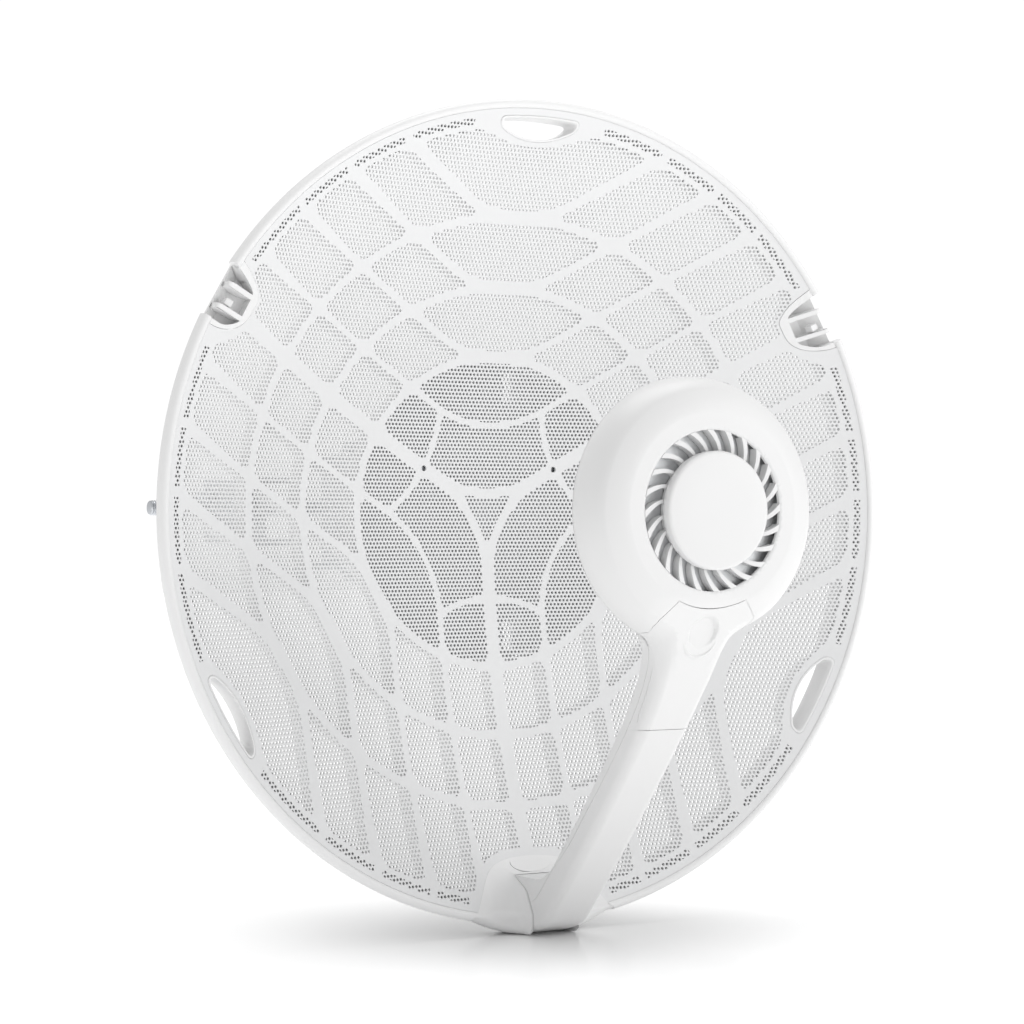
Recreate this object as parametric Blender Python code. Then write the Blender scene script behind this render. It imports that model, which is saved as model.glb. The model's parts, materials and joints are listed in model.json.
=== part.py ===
"""Outdoor wireless bridge: a 60 GHz dish radio with a feed pod on an arm and a tilting pole mount.

Frame: metres, +Z up, the dish looks along -Y, +X is to the right seen from the front.
The origin is on the dish axis where it crosses the plane of the rim groove, which is within 3 mm of
the middle of the overall box.
"""

import math

import bmesh
import bpy
from mathutils import Matrix, Vector
from mathutils.geometry import delaunay_2d_cdt

GAP = 0.0003                    # clearance between neighbouring pieces

# Reflector
PANEL_R = 0.200                 # groove between panel and rim
DISH_DEPTH = 0.0577             # vertex behind the groove plane
PANEL_T = 0.0015
PANEL_GAP = 0.0010              # between the panel's back and the ribs
RIM_R = 0.2046                  # outside of the rim bead
RIM_WALL_R = 0.1906             # inner wall of the rim's box section
RIM_FLOOR_Y = 0.0165            # deepest line of that box section
RIB_W = 0.0026
RIB_DEPTH = 0.0120
RIB_PITCH = 0.030               # offset from one rib line to the next
RIB_BEND_R = 0.063              # bend that joins two straight rib runs
RIB_LINES = 5
SECTOR_AXES = (90.0, 210.0, 330.0)
HUB_R = 0.0790                  # innermost ring rib
CROSS_R = 0.0440                # radius of the hub fixing screws

# Finger slots, one on each sector axis
SLOT_OUT_R = 0.1955
SLOT_IN_R = 0.1855
SLOT_HALF_W = 0.0215
SLOT_BULGE_R = 0.042

# Edge sockets, half way between the finger slots
SOCKET_AXES = (30.0, 150.0)
SOCKET_HALF_W = 0.0175
SOCKET_IN_R = 0.1824
SOCKET_WALL = 0.0014
SOCKET_DEPTH = 0.0150

# Foot boss under the arm
BOSS_TOP_Z = -0.1730
BOSS_HALF_W = 0.0375
BOSS_LOW_Z = -0.2084
TAB_TOP_Z = -0.1746

# Arm, as a bent box in the YZ plane
ARM_HALF_W = 0.0130
ARM_FOOT = (-0.0215, -0.2020)   # front edge at the foot, y and z
ARM_HEAD = (-0.1300, -0.0785)   # front edge below the pod
ARM_SAG = 0.0025
ARM_T = 0.0168
ARM_SEAM = 0.0100               # front shell's share of the thickness
COVER_LOW = 0.1344              # lower end of the port cover, along the arm from its foot
WALL = 0.0022

# Feed pod, turned about the dish axis
POD_R = 0.0610
POD_FRONT_Y = -0.1510
POD_SEAM_Y = -0.1260
POD_REAR_Y = -0.1080
RING_OUT_R = 0.0364
RING_IN_R = 0.0264
BEVEL_R = 0.0440                # inner edge of the pod's sloping shoulder
VANES = 24
CAP_Y = -0.1546

# Mount
HUB_PLATE_Y = 0.0605
HUB_PLATE_T = 0.0030
TILT_Y = 0.0900                 # elevation axis, along X
SWIVEL_X = -0.0350              # azimuth axis, along Z
SWIVEL_Y = 0.1380
PIN_R = 0.0040
JAW_Y0 = 0.0780
JAW_Y1 = 0.1500
JAW_BOLT_Y = (0.0860, 0.1420)
JAW_BOLT_Z = 0.0020
INNER_JAW_H = 0.0600
OUTER_JAW_H = 0.0340
BOLT_TIP_X = -0.1520


# ---------------------------------------------------------------- helpers

def clear_scene():
    for obj in list(bpy.data.objects):
        bpy.data.objects.remove(obj, do_unlink=True)


def material(name, colour, roughness, metallic=0.0):
    found = bpy.data.materials.get(name)
    if found:
        return found
    made = bpy.data.materials.new(name)
    made.use_nodes = True
    shader = made.node_tree.nodes["Principled BSDF"]
    shader.inputs["Base Color"].default_value = (*colour, 1.0)
    shader.inputs["Roughness"].default_value = roughness
    shader.inputs["Metallic"].default_value = metallic
    return made


def white_plastic():
    return material("white_plastic", (0.80, 0.80, 0.80), 0.45)


def grey_plastic():
    return material("grey_plastic", (0.45, 0.46, 0.47), 0.5)


def dark_plastic():
    return material("dark_plastic", (0.03, 0.03, 0.035), 0.5)


def painted_panel():
    return material("painted_panel", (0.74, 0.75, 0.75), 0.5)


def zinc_steel():
    return material("zinc_steel", (0.60, 0.61, 0.62), 0.35, 1.0)


def cast_aluminium():
    return material("cast_aluminium", (0.55, 0.56, 0.57), 0.45, 1.0)


def circuit_green():
    return material("circuit_green", (0.02, 0.16, 0.07), 0.45)


def sealing_rubber():
    return material("sealing_rubber", (0.05, 0.05, 0.05), 0.8)


def finish(name, bm, mat):
    bmesh.ops.recalc_face_normals(bm, faces=bm.faces)
    mesh = bpy.data.meshes.new(name)
    bm.to_mesh(mesh)
    bm.free()
    mesh.materials.append(mat)
    obj = bpy.data.objects.new(name, mesh)
    bpy.context.collection.objects.link(obj)
    return obj


def cutter(obj):
    obj.hide_render = True
    obj.display_type = "WIRE"
    return obj


def cut(obj, tool):
    mod = obj.modifiers.new("cut", "BOOLEAN")
    mod.operation = "DIFFERENCE"
    mod.solver = "EXACT"
    mod.object = cutter(tool)


def join(obj, tool):
    mod = obj.modifiers.new("join", "BOOLEAN")
    mod.operation = "UNION"
    mod.solver = "EXACT"
    mod.object = cutter(tool)


def box(name, low, high, mat):
    bm = bmesh.new()
    bmesh.ops.create_cube(bm, size=1.0)
    size = [b - a for a, b in zip(low, high)]
    centre = [(a + b) / 2 for a, b in zip(low, high)]
    bmesh.ops.scale(bm, vec=size, verts=bm.verts)
    bmesh.ops.translate(bm, vec=centre, verts=bm.verts)
    return finish(name, bm, mat)


def prism(name, outline, direction, mat):
    """Extrude a closed outline of 3-D points along a vector."""
    bm = bmesh.new()
    face = bm.faces.new([bm.verts.new(p) for p in outline])
    out = bmesh.ops.extrude_face_region(bm, geom=[face])
    moved = [g for g in out["geom"] if isinstance(g, bmesh.types.BMVert)]
    bmesh.ops.translate(bm, vec=direction, verts=moved)
    return finish(name, bm, mat)


def turned(name, profile, mat, start, axis, segments=24):
    """Turn (radius, distance) pairs about an axis; radius 0 closes on the axis."""
    axis = Vector(axis).normalized()
    turn = axis.to_track_quat("Z", "Y").to_matrix()
    bm = bmesh.new()
    rings = []
    for radius, along in profile:
        if radius == 0.0:
            rings.append([bm.verts.new(Vector(start) + axis * along)])
            continue
        ring = []
        for i in range(segments):
            a = 2 * math.pi * i / segments
            spoke = turn @ Vector((radius * math.cos(a), radius * math.sin(a), 0.0))
            ring.append(bm.verts.new(Vector(start) + spoke + axis * along))
        rings.append(ring)
    closed = profile[0][0] > 0.0
    pairs = list(zip(rings, rings[1:]))
    if closed:
        pairs.append((rings[-1], rings[0]))
    for low, high in pairs:
        for i in range(segments):
            j = (i + 1) % segments
            corners = [low[i % len(low)], low[j % len(low)], high[j % len(high)], high[i % len(high)]]
            bm.faces.new(list(dict.fromkeys(corners)))
    return finish(name, bm, mat)


def rod(name, start, axis, radius, length, mat, segments=16):
    profile = [(0.0, 0.0), (radius, 0.0), (radius, length), (0.0, length)]
    return turned(name, profile, mat, start, axis, segments)


def loft(name, sections, mat):
    """Skin a run of closed sections and cap both ends."""
    bm = bmesh.new()
    rings = [[bm.verts.new(p) for p in section] for section in sections]
    count = len(rings[0])
    for low, high in zip(rings, rings[1:]):
        for i in range(count):
            j = (i + 1) % count
            bm.faces.new([low[i], low[j], high[j], high[i]])
    bm.faces.new(rings[0])
    bm.faces.new(rings[-1])
    return finish(name, bm, mat)


def polar(radius, degrees):
    a = math.radians(degrees)
    return Vector((radius * math.cos(a), radius * math.sin(a)))


def circle_loop(radius, count, centre=(0.0, 0.0)):
    return [Vector(centre) + polar(radius, 360.0 * i / count) for i in range(count)]


# ------------------------------------------------- solids that follow the dish

def dish_y(x, z):
    """Front face of the panel."""
    return DISH_DEPTH * (1.0 - min((x * x + z * z) / PANEL_R ** 2, 1.0))


def plan_triangles(paths, extra, keep):
    """Triangulate the plan that the paths divide, and keep the triangles that keep() accepts."""
    points = []
    edges = []
    for path, closed in paths:
        first = len(points)
        points.extend(path)
        edges.extend((first + i, first + i + 1) for i in range(len(path) - 1))
        if closed:
            edges.append((first + len(path) - 1, first))
    points.extend(extra)
    verts, _, faces, *_ = delaunay_2d_cdt(points, edges, [], 0, 1e-6)
    kept = []
    for face in faces:
        corners = [verts[i] for i in face]
        centre = sum(corners, Vector((0.0, 0.0))) / len(corners)
        if keep(centre):
            kept.append(face)
    return verts, kept


def sheet_solid(name, verts, faces, front, back, mat):
    """Give a plan two faces, front(x, z) and back(x, z), and walls round its edges."""
    bm = bmesh.new()
    used = sorted({i for face in faces for i in face})
    top = {i: bm.verts.new((verts[i].x, front(*verts[i]), verts[i].y)) for i in used}
    low = {i: bm.verts.new((verts[i].x, back(*verts[i]), verts[i].y)) for i in used}
    seen = {}
    for face in faces:
        bm.faces.new([top[i] for i in face])
        bm.faces.new([low[i] for i in reversed(face)])
        for a, b in zip(face, face[1:] + face[:1]):
            seen[(a, b)] = True
    for a, b in list(seen):
        if (b, a) not in seen:
            bm.faces.new([top[b], top[a], low[a], low[b]])
    return finish(name, bm, mat)


def turned_point(point, degrees):
    return Matrix.Rotation(math.radians(degrees), 2) @ Vector(point)


def rib_path(offset, shift, axis):
    """One rib line of the sector about axis: straight, a bend, straight, moved sideways by shift."""
    lift = (offset + RIB_BEND_R) / math.cos(math.radians(30))
    radius = RIB_BEND_R - shift
    bend = [Vector((0.0, lift)) + polar(radius, 240 + 60 * i / 4) for i in range(5)]
    run = polar(1.0, 30)
    runs = [bend[-1] + run * 0.040 * i for i in range(1, 6)]
    left = [Vector((-p.x, p.y)) for p in reversed(runs)]
    return [turned_point(p, axis - 90) for p in left + bend + runs]


def rib_distance(point, offset, axis):
    """Distance from a point to one rib line."""
    local = turned_point(point, 90 - axis)
    x = abs(local.x)
    lift = (offset + RIB_BEND_R) / math.cos(math.radians(30))
    if x < RIB_BEND_R / 2 and local.y < lift:
        return abs((local - Vector((0.0, lift))).length - RIB_BEND_R)
    slope = math.radians(30)
    return abs(local.y * math.cos(slope) - x * math.sin(slope) - offset)


def ring_radii():
    """Ring ribs touch the lowest point of the second, third and fourth rib lines."""
    rise = RIB_BEND_R / math.cos(math.radians(30)) - RIB_BEND_R
    return [RIB_PITCH * k / math.cos(math.radians(30)) + rise for k in (2, 3, 4)]


def slot_outline(axis, grow=0.0):
    """Lens-shaped finger slot: outer edge follows the rim, inner edge bulges inwards."""
    half = SLOT_HALF_W + grow
    inner = SLOT_IN_R - grow
    outer = SLOT_OUT_R + grow
    bulge = SLOT_BULGE_R
    points = []
    for i in range(9):
        x = -half + 2 * half * i / 8
        points.append(Vector((x, inner + bulge - math.sqrt(bulge ** 2 - x * x))))
    for i in range(5):
        a = math.asin(half / outer) * (1 - 2 * i / 4)
        points.append(Vector((outer * math.sin(a), outer * math.cos(a))))
    return [turned_point(p, axis - 90) for p in points]


def in_slot(point, axis, grow=0.0):
    local = turned_point(point, 90 - axis)
    if abs(local.x) > SLOT_HALF_W + grow or local.length > SLOT_OUT_R + grow:
        return False
    floor = SLOT_IN_R - grow + SLOT_BULGE_R - math.sqrt(SLOT_BULGE_R ** 2 - local.x ** 2)
    return local.y > floor


def socket_curve(grow, reach):
    """U-shaped edge socket about the +Z axis, from the left mouth round to the right mouth."""
    half = SOCKET_HALF_W + grow
    deep = SOCKET_IN_R - grow
    points = []
    for i in range(13):
        a = math.radians(180 + 15 * i)
        points.append(Vector((half * math.cos(a), PANEL_R + (PANEL_R - deep) * math.sin(a))))
    return [Vector((-half, reach))] + points + [Vector((half, reach))]


def in_socket(point, grow=0.0):
    for axis in SOCKET_AXES:
        local = turned_point(point, 90 - axis)
        half = SOCKET_HALF_W + grow
        deep = PANEL_R - SOCKET_IN_R + grow
        if local.y > PANEL_R and abs(local.x) < half:
            return True
        if (local.x / half) ** 2 + ((local.y - PANEL_R) / deep) ** 2 < 1 and local.y > 0:
            return True
    return False


def boss_outline(grow, low_z):
    """Bell-shaped boss above the bottom of the rim."""
    wide = BOSS_HALF_W + grow
    top = BOSS_TOP_Z + grow
    half = [(wide, low_z), (wide, -0.1970), (wide - 0.0040, -0.1905), (wide - 0.0100, top - 0.0080),
            (wide - 0.0150, top - 0.0034), (wide - 0.0215, top - 0.0006)]
    right = [Vector(p) for p in half]
    return right + [Vector((-p.x, p.y)) for p in reversed(right)]


def inside_loop(point, loop):
    """Even-odd test."""
    inside = False
    for a, b in zip(loop, loop[1:] + loop[:1]):
        if (a.y > point.y) != (b.y > point.y):
            if point.x < a.x + (point.y - a.y) / (b.y - a.y) * (b.x - a.x):
                inside = not inside
    return inside


# ---------------------------------------------------------------- reflector

def make_panel():
    """The curved panel, with its finger slots, socket notches, boss notch and two screw holes."""
    edge = PANEL_R - 0.00035
    boss = boss_outline(0.0004, -0.21)
    paths = [(circle_loop(edge, 72), True), (boss, True)]
    paths += [(slot_outline(a, 0.0020), True) for a in SECTOR_AXES]
    for axis in SOCKET_AXES:
        curve = [turned_point(p, axis - 90) for p in socket_curve(SOCKET_WALL + 0.0004, 0.21)]
        paths.append((curve, False))
    holes = [polar(CROSS_R, a) for a in (30, 150)]
    paths += [(circle_loop(0.0016, 8, hole), True) for hole in holes]
    extra = [p for k in range(1, 8) for p in circle_loop(0.025 * k, 6 * k + 6)]
    extra.append(Vector((0.0, 0.0)))

    def keep(p):
        if p.length > edge or inside_loop(p, boss) or in_socket(p, SOCKET_WALL + 0.0004):
            return False
        if any(in_slot(p, a, 0.0020) for a in SECTOR_AXES):
            return False
        return all((p - hole).length > 0.0016 for hole in holes)

    verts, faces = plan_triangles(paths, extra, keep)
    return sheet_solid("reflector_panel", verts, faces, dish_y,
                       lambda x, z: dish_y(x, z) + PANEL_T, painted_panel())


def rib_floor(x, z):
    """Rear edge of the ribs, which get shallower towards the rim."""
    r = math.hypot(x, z)
    return dish_y(x, z) + PANEL_T + PANEL_GAP + RIB_DEPTH * min(1.0, max(0.35, (0.204 - r) / 0.012))


def make_rib_frame():
    """Ribs, ring ribs, hub ring and slot walls, joined to the rim, the two edge sockets and the boss."""
    half = RIB_W / 2
    outer = 0.1914
    paths = [(circle_loop(outer, 72), True)]
    for radius in ring_radii():
        paths += [(circle_loop(radius + s, 48), True) for s in (-half, half)]
    for axis in SECTOR_AXES:
        for k in range(RIB_LINES):
            paths += [(rib_path(RIB_PITCH * k, s, axis), False) for s in (-half, half)]
        paths += [(slot_outline(axis, grow), True) for grow in (0.0, 0.0016)]
    for axis in SOCKET_AXES:
        curve = [turned_point(p, axis - 90) for p in socket_curve(0.0006, 0.21)]
        paths.append((curve, False))
    boss = boss_outline(-0.001, -0.21)
    paths.append((boss, True))
    hub = ring_radii()[0]

    def keep(p):
        r = p.length
        if any(in_slot(p, a) for a in SECTOR_AXES):
            return False
        if any(in_slot(p, a, 0.0016) for a in SECTOR_AXES):
            return True
        if r > outer or r < hub - half or in_socket(p, 0.0006) or inside_loop(p, boss):
            return False
        if any(abs(r - ring) < half for ring in ring_radii()):
            return True
        return any(rib_distance(p, RIB_PITCH * k, a) < half
                   for a in SECTOR_AXES for k in range(RIB_LINES))

    verts, faces = plan_triangles(paths, [], keep)
    frame = sheet_solid("rib_frame", verts, faces,
                        lambda x, z: dish_y(x, z) + PANEL_T + PANEL_GAP, rib_floor, white_plastic())
    join(frame, make_rim())
    for axis in SOCKET_AXES:
        join(frame, socket_walls(axis))
    join(frame, make_boss())
    cut(frame, box("tongue_space_tool", (-0.0085, -0.01, -0.1970), (0.0085, 0.0135, -0.1898),
                   white_plastic()))
    recess = [(p.x, 0.0, p.y) for p in tab_outline(GAP)]
    cut(frame, prism("tab_space_tool", recess, (0, 0.0200, 0), white_plastic()))


def make_rim():
    """Rim: rolled bead, sloping rear wall and inner wall, open behind the panel."""
    front = dish_y(RIM_WALL_R, 0.0) + PANEL_T + PANEL_GAP
    profile = [
        (RIM_WALL_R, front), (RIM_WALL_R + 0.0018, front), (RIM_WALL_R + 0.0018, 0.0145),
        (0.1985, 0.0060), (0.1985, 0.0036), (0.2000, 0.0036), (0.2000, -0.0004),
        (0.2010, -0.0014), (0.2024, -0.0016), (0.2038, -0.0008), (RIM_R, 0.0012),
        (RIM_R, 0.0050), (0.2030, 0.0062), (RIM_WALL_R + 0.0025, RIM_FLOOR_Y),
        (RIM_WALL_R, RIM_FLOOR_Y),
    ]
    rim = turned("rim_tool", profile, white_plastic(), (0, 0, 0), (0, 1, 0), 72)
    for axis in SOCKET_AXES:
        cut(rim, socket_space(axis))
    for axis in SECTOR_AXES:
        cut(rim, slot_space(axis))
    return rim


def slot_space(axis):
    outline = [Vector((p.x, -0.01, p.y)) for p in slot_outline(axis, 0.0008)]
    return prism("slot_tool", outline, (0, 0.05, 0), white_plastic())


def socket_space(axis):
    curve = [turned_point(p, axis - 90) for p in socket_curve(0.0009, 0.22)]
    return prism("socket_tool", [Vector((p.x, -0.01, p.y)) for p in curve], (0, 0.06, 0), white_plastic())


def socket_walls(axis):
    """Two curved cheeks, two radial plates and a cross web, all standing along Y."""
    reach = 0.2040
    outer = socket_curve(SOCKET_WALL, reach)
    inner = socket_curve(0.0, reach)
    plate_x = 0.0056
    web_z = 0.1870
    half = 0.0007

    def keep(p):
        if p.y > reach:
            return False
        cheek = inside_loop(p, outer) and not inside_loop(p, inner)
        plate = abs(abs(p.x) - plate_x) < half and inside_loop(p, outer)
        web = abs(p.y - web_z) < half and abs(p.x) < plate_x
        return cheek or plate or web

    paths = [(outer, True), (inner, True)]
    for side in (-1, 1):
        for s in (-half, half):
            x = side * plate_x + s
            paths.append(([Vector((x, 0.178)), Vector((x, reach + 0.001))], False))
    paths += [([Vector((-plate_x, web_z + s)), Vector((plate_x, web_z + s))], False) for s in (-half, half)]
    verts, faces = plan_triangles(paths, [], keep)
    verts = [turned_point(v, axis - 90) for v in verts]
    return sheet_solid("socket_walls_tool", verts, faces, dish_y,
                       lambda x, z: dish_y(x, z) + SOCKET_DEPTH, white_plastic())


def make_boss():
    """Boss that carries the arm, flush with the panel, bulging 4 mm below the rim."""
    loop = boss_outline(0.0, -0.1950)
    right = [Vector((0.0368, -0.2003)), Vector((0.0300, -0.2040)), Vector((0.0170, BOSS_LOW_Z))]
    loop = loop[1:-1] + [Vector((-p.x, p.y)) for p in right] + list(reversed(right))
    rows = [Vector((x, z)) for z in (-0.181, -0.189, -0.197) for x in (-0.02, 0.0, 0.02)]
    verts, faces = plan_triangles([(loop, True)], rows, lambda p: inside_loop(p, loop))
    return sheet_solid("boss_tool", verts, faces, lambda x, z: dish_y(x, z) - 0.0004,
                       lambda x, z: dish_y(x, z) + 0.0175, white_plastic())


# ---------------------------------------------------------------- arm

def arm_line(inset, count=9):
    """Points along the arm, inset from its front edge towards the dish."""
    foot = Vector(ARM_FOOT)
    head = Vector(ARM_HEAD)
    run = (head - foot).normalized()
    out = Vector((-run.y, run.x))
    if out.x > 0:
        out = -out
    points = []
    for i in range(count):
        t = i / (count - 1)
        sag = ARM_SAG * 4 * t * (1 - t)
        points.append(foot.lerp(head, t) + out * (sag - inset))
    return points


def arm_point(along, inset):
    """A (y, z) point of the arm: along it from the foot, and inset from its front edge."""
    foot = Vector(ARM_FOOT)
    run = (Vector(ARM_HEAD) - foot).normalized()
    return foot + run * along + Vector((run.y, -run.x)) * inset


def arm_block(name, along, inset, half, mat):
    """Block inside the arm, square to it."""
    corners = [(along[0], inset[0]), (along[1], inset[0]), (along[1], inset[1]), (along[0], inset[1])]
    outline = [(-half, *arm_point(*corner)) for corner in corners]
    return prism(name, outline, (2 * half, 0, 0), mat)


def flare(z):
    """Half width of the arm, which widens where it runs into the pod."""
    return ARM_HALF_W + 0.0150 * max(0.0, min(1.0, (z + 0.092) / 0.030)) ** 2


def arm_sections():
    """Front, seam and rear points of the arm from the boss to the pod, each as (y, z)."""
    front = arm_line(0.0)
    seam = arm_line(ARM_SEAM)
    rear = arm_line(ARM_T)
    rows = [(Vector((-0.0034, -0.2082)), Vector((-0.0022, -0.2000)), Vector((0.0024, -0.1925)))]
    rows += list(zip(front, seam, rear))
    rows.append((Vector((-0.1405, -0.0600)), Vector((POD_SEAM_Y, -0.0575)), Vector((-0.1100, -0.0550))))
    return rows


def shell_section(near, far, half, rounded):
    """A U with its closed side at near and its open side at far."""
    ahead = (far - near).normalized()
    corner = near + ahead * rounded
    inner = near + ahead * WALL
    points = [(-half, far), (-half, corner), (rounded - half, near), (half - rounded, near),
              (half, corner), (half, far), (half - WALL, far), (half - WALL, inner),
              (WALL - half, inner), (WALL - half, far)]
    return [(x, p.x, p.y) for x, p in points]


def pod_front_profile():
    outer = [(RING_OUT_R + 0.0004, POD_FRONT_Y + 0.0007), (BEVEL_R, POD_FRONT_Y), (0.0560, -0.1446),
             (0.0600, -0.1385), (POD_R, -0.1310), (POD_R, POD_SEAM_Y)]
    inner = [(POD_R - WALL, POD_SEAM_Y), (POD_R - WALL, -0.1305), (0.0545, -0.1420),
             (BEVEL_R, -0.1486), (RING_OUT_R + 0.0004, -0.1480)]
    return outer + inner


def make_front_shell(name):
    """Pod front and arm front in one moulding."""
    sections = [shell_section(f, s, flare(f.y), 0.0025) for f, s, _ in arm_sections()]
    shell = loft(name, sections, white_plastic())
    core = rod("pod_core_tool", (0, POD_SEAM_Y + 0.01, 0), (0, -1, 0), POD_R - WALL / 2, 0.04,
               white_plastic(), 40)
    cut(shell, core)
    pod = turned("pod_front_tool", pod_front_profile(), white_plastic(), (0, 0, 0), (0, 1, 0), 40)
    join(shell, pod)
    return shell


def bay_rail(side, slack=0.0, reach=0.0):
    """Rail beside the jack that ties the arm front to the pod front under the port cover.

    With slack it is the slot for the rail in the cover, which reaches inwards so that the cover lifts off.
    """
    x = side * 0.0094 - 0.0008 - slack
    inward = arm_point(0.0, reach) - arm_point(0.0, 0.0)
    corners = [arm_point(0.123, 0.0030 - slack), arm_point(0.123, 0.0095 + slack + reach),
               arm_point(0.165, 0.0095 + slack + reach), Vector((-0.1365 + 12 * slack, -0.0560)) + inward,
               Vector((-0.1400 + 12 * slack, -0.0405 + slack)) + inward, (-0.1495 - slack, -0.0405 + slack),
               arm_point(0.165, 0.0030 - slack)]
    outline = [(x, y, z) for y, z in corners]
    return prism("rail_tool", outline, (0.0016 + 2 * slack, 0, 0), white_plastic())


def cover_outline(grow):
    """Port cover seen from the front: an arc under the vane ring, then shoulders and straight sides."""
    radius = BEVEL_R - grow
    arc = [polar(radius, a) for a in (246, 258, 270, 282, 294)]
    side = [Vector((0.0290 + grow, -0.0500)), Vector((0.0330 + grow, -0.0560)),
            Vector((0.0330 + grow, -0.1200))]
    return arc + side + [Vector((-p.x, p.y)) for p in reversed(side)]


def cover_side(grow):
    """Port cover seen from the side: a step ahead of the shell seam, rounded up at its lower end."""
    deep = 0.0065 + grow
    low = COVER_LOW - grow
    corner = [(low + 0.0080 * (1 - math.sin(math.radians(a))), deep - 0.0065 * (1 - math.cos(math.radians(a))))
              for a in (90, 60, 30, 0)]
    lower = [arm_point(low, -0.0250)] + [arm_point(*p) for p in corner]
    pod = [Vector((POD_SEAM_Y - 0.0020 + grow, -0.0620)), Vector((POD_SEAM_Y - 0.0020 + grow, -0.0300))]
    return lower + [arm_point(0.1700, deep)] + pod + [Vector((-0.1750, -0.0300))]


def cover_space(name, grow):
    """Space that the port cover takes up in the front shell."""
    plan = [(p.x, -0.180, p.y) for p in cover_outline(grow)]
    side = [(-0.040, p.x, p.y) for p in cover_side(grow)]
    space = prism(name, plan, (0, 0.100, 0), white_plastic())
    mod = space.modifiers.new("keep", "BOOLEAN")
    mod.operation = "INTERSECT"
    mod.solver = "EXACT"
    mod.object = cutter(prism(name + "_side", side, (0.080, 0, 0), white_plastic()))
    return space


def make_radio_shells():
    front = make_front_shell("radio_front_shell")
    cut(front, cover_space("bay_tool", GAP))
    for side in (-1, 1):
        join(front, bay_rail(side))
    join(front, arm_block("bay_bridge_tool", (0.123, 0.128), (0.0035, 0.0052), 0.0115, white_plastic()))
    cover = make_front_shell("port_cover")
    keep = cover.modifiers.new("keep", "BOOLEAN")
    keep.operation = "INTERSECT"
    keep.solver = "EXACT"
    keep.object = cutter(cover_space("cover_tool", 0.0))
    for side in (-1, 1):
        cut(cover, bay_rail(side, 0.0005, 0.0120))
    rows = arm_sections()
    sections = []
    for front_edge, seam, rear in rows:
        lip = seam + (rear - seam).normalized() * GAP
        sections.append(shell_section(rear, lip, flare(front_edge.y) - 0.0004, 0.0020))
    back = loft("radio_rear_shell", sections, white_plastic())
    core = rod("rear_core_tool", (0, -0.150, 0), (0, 1, 0), POD_R - 0.0035, 0.0388,
               white_plastic(), 40)
    cut(back, core)
    profile = [(POD_R, POD_SEAM_Y + GAP), (POD_R, -0.1180), (0.0570, -0.1102), (0.0540, POD_REAR_Y),
               (0.0, POD_REAR_Y), (0.0, POD_REAR_Y - 0.0020), (0.0530, POD_REAR_Y - 0.0020),
               (0.0552, -0.1115), (POD_R - WALL, -0.1185), (POD_R - WALL, POD_SEAM_Y + GAP)]
    join(back, cup("pod_rear_tool", profile, white_plastic()))
    join(back, box("tongue_tool", (-0.0080, -0.0020, -0.1965), (0.0080, 0.0120, -0.1905), white_plastic()))


def cup(name, profile, mat, segments=40):
    """Turned shape whose profile touches the axis at two places: outside first, then inside."""
    bm = bmesh.new()
    rings = []
    for radius, y in profile:
        if radius == 0.0:
            rings.append([bm.verts.new((0.0, y, 0.0))])
        else:
            rings.append([bm.verts.new((p.x, y, p.y)) for p in circle_loop(radius, segments)])
    for low, high in list(zip(rings, rings[1:])) + [(rings[-1], rings[0])]:
        if len(low) == 1 and len(high) == 1:
            continue
        for i in range(segments):
            j = (i + 1) % segments
            corners = [low[i % len(low)], low[j % len(low)], high[j % len(high)], high[i % len(high)]]
            bm.faces.new(list(dict.fromkeys(corners)))
    return finish(name, bm, mat)


# ---------------------------------------------------------------- pod contents

def make_louvre_ring():
    """Ring of swept vanes between a hub ring and an outer ring, as one flat moulding."""
    hub_r = RING_IN_R + 0.0008
    tip_r = RING_OUT_R - 0.0010
    pitch = 360.0 / VANES

    def sweep(r):
        return 10.0 * (r - hub_r) / (tip_r - hub_r)

    paths = [(circle_loop(RING_IN_R, 48), True), (circle_loop(RING_OUT_R, 48), True),
             (circle_loop(hub_r, 24), True), (circle_loop(tip_r, 24), True)]
    steps = [hub_r - 0.0006 + (tip_r - hub_r + 0.0009) * i / 2 for i in range(3)]
    for k in range(VANES):
        for side in (-1, 1):
            paths.append(([polar(r, k * pitch + sweep(r) + side * (2.0 + 0.1 * sweep(r))) for r in steps],
                          False))

    def keep(p):
        r = p.length
        if r < RING_IN_R * 0.998 or r > RING_OUT_R:
            return False
        if r < hub_r * 0.993 or r > tip_r * 0.997:
            return True
        a = math.degrees(math.atan2(p.y, p.x)) - sweep(r)
        off = (a + pitch / 2) % pitch - pitch / 2
        return abs(off) < 2.0 + 0.1 * sweep(r)

    verts, faces = plan_triangles(paths, [], keep)
    sheet_solid("louvre_ring", verts, faces, lambda x, z: POD_FRONT_Y - 0.0004,
                lambda x, z: POD_FRONT_Y + 0.0040, white_plastic())


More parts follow.
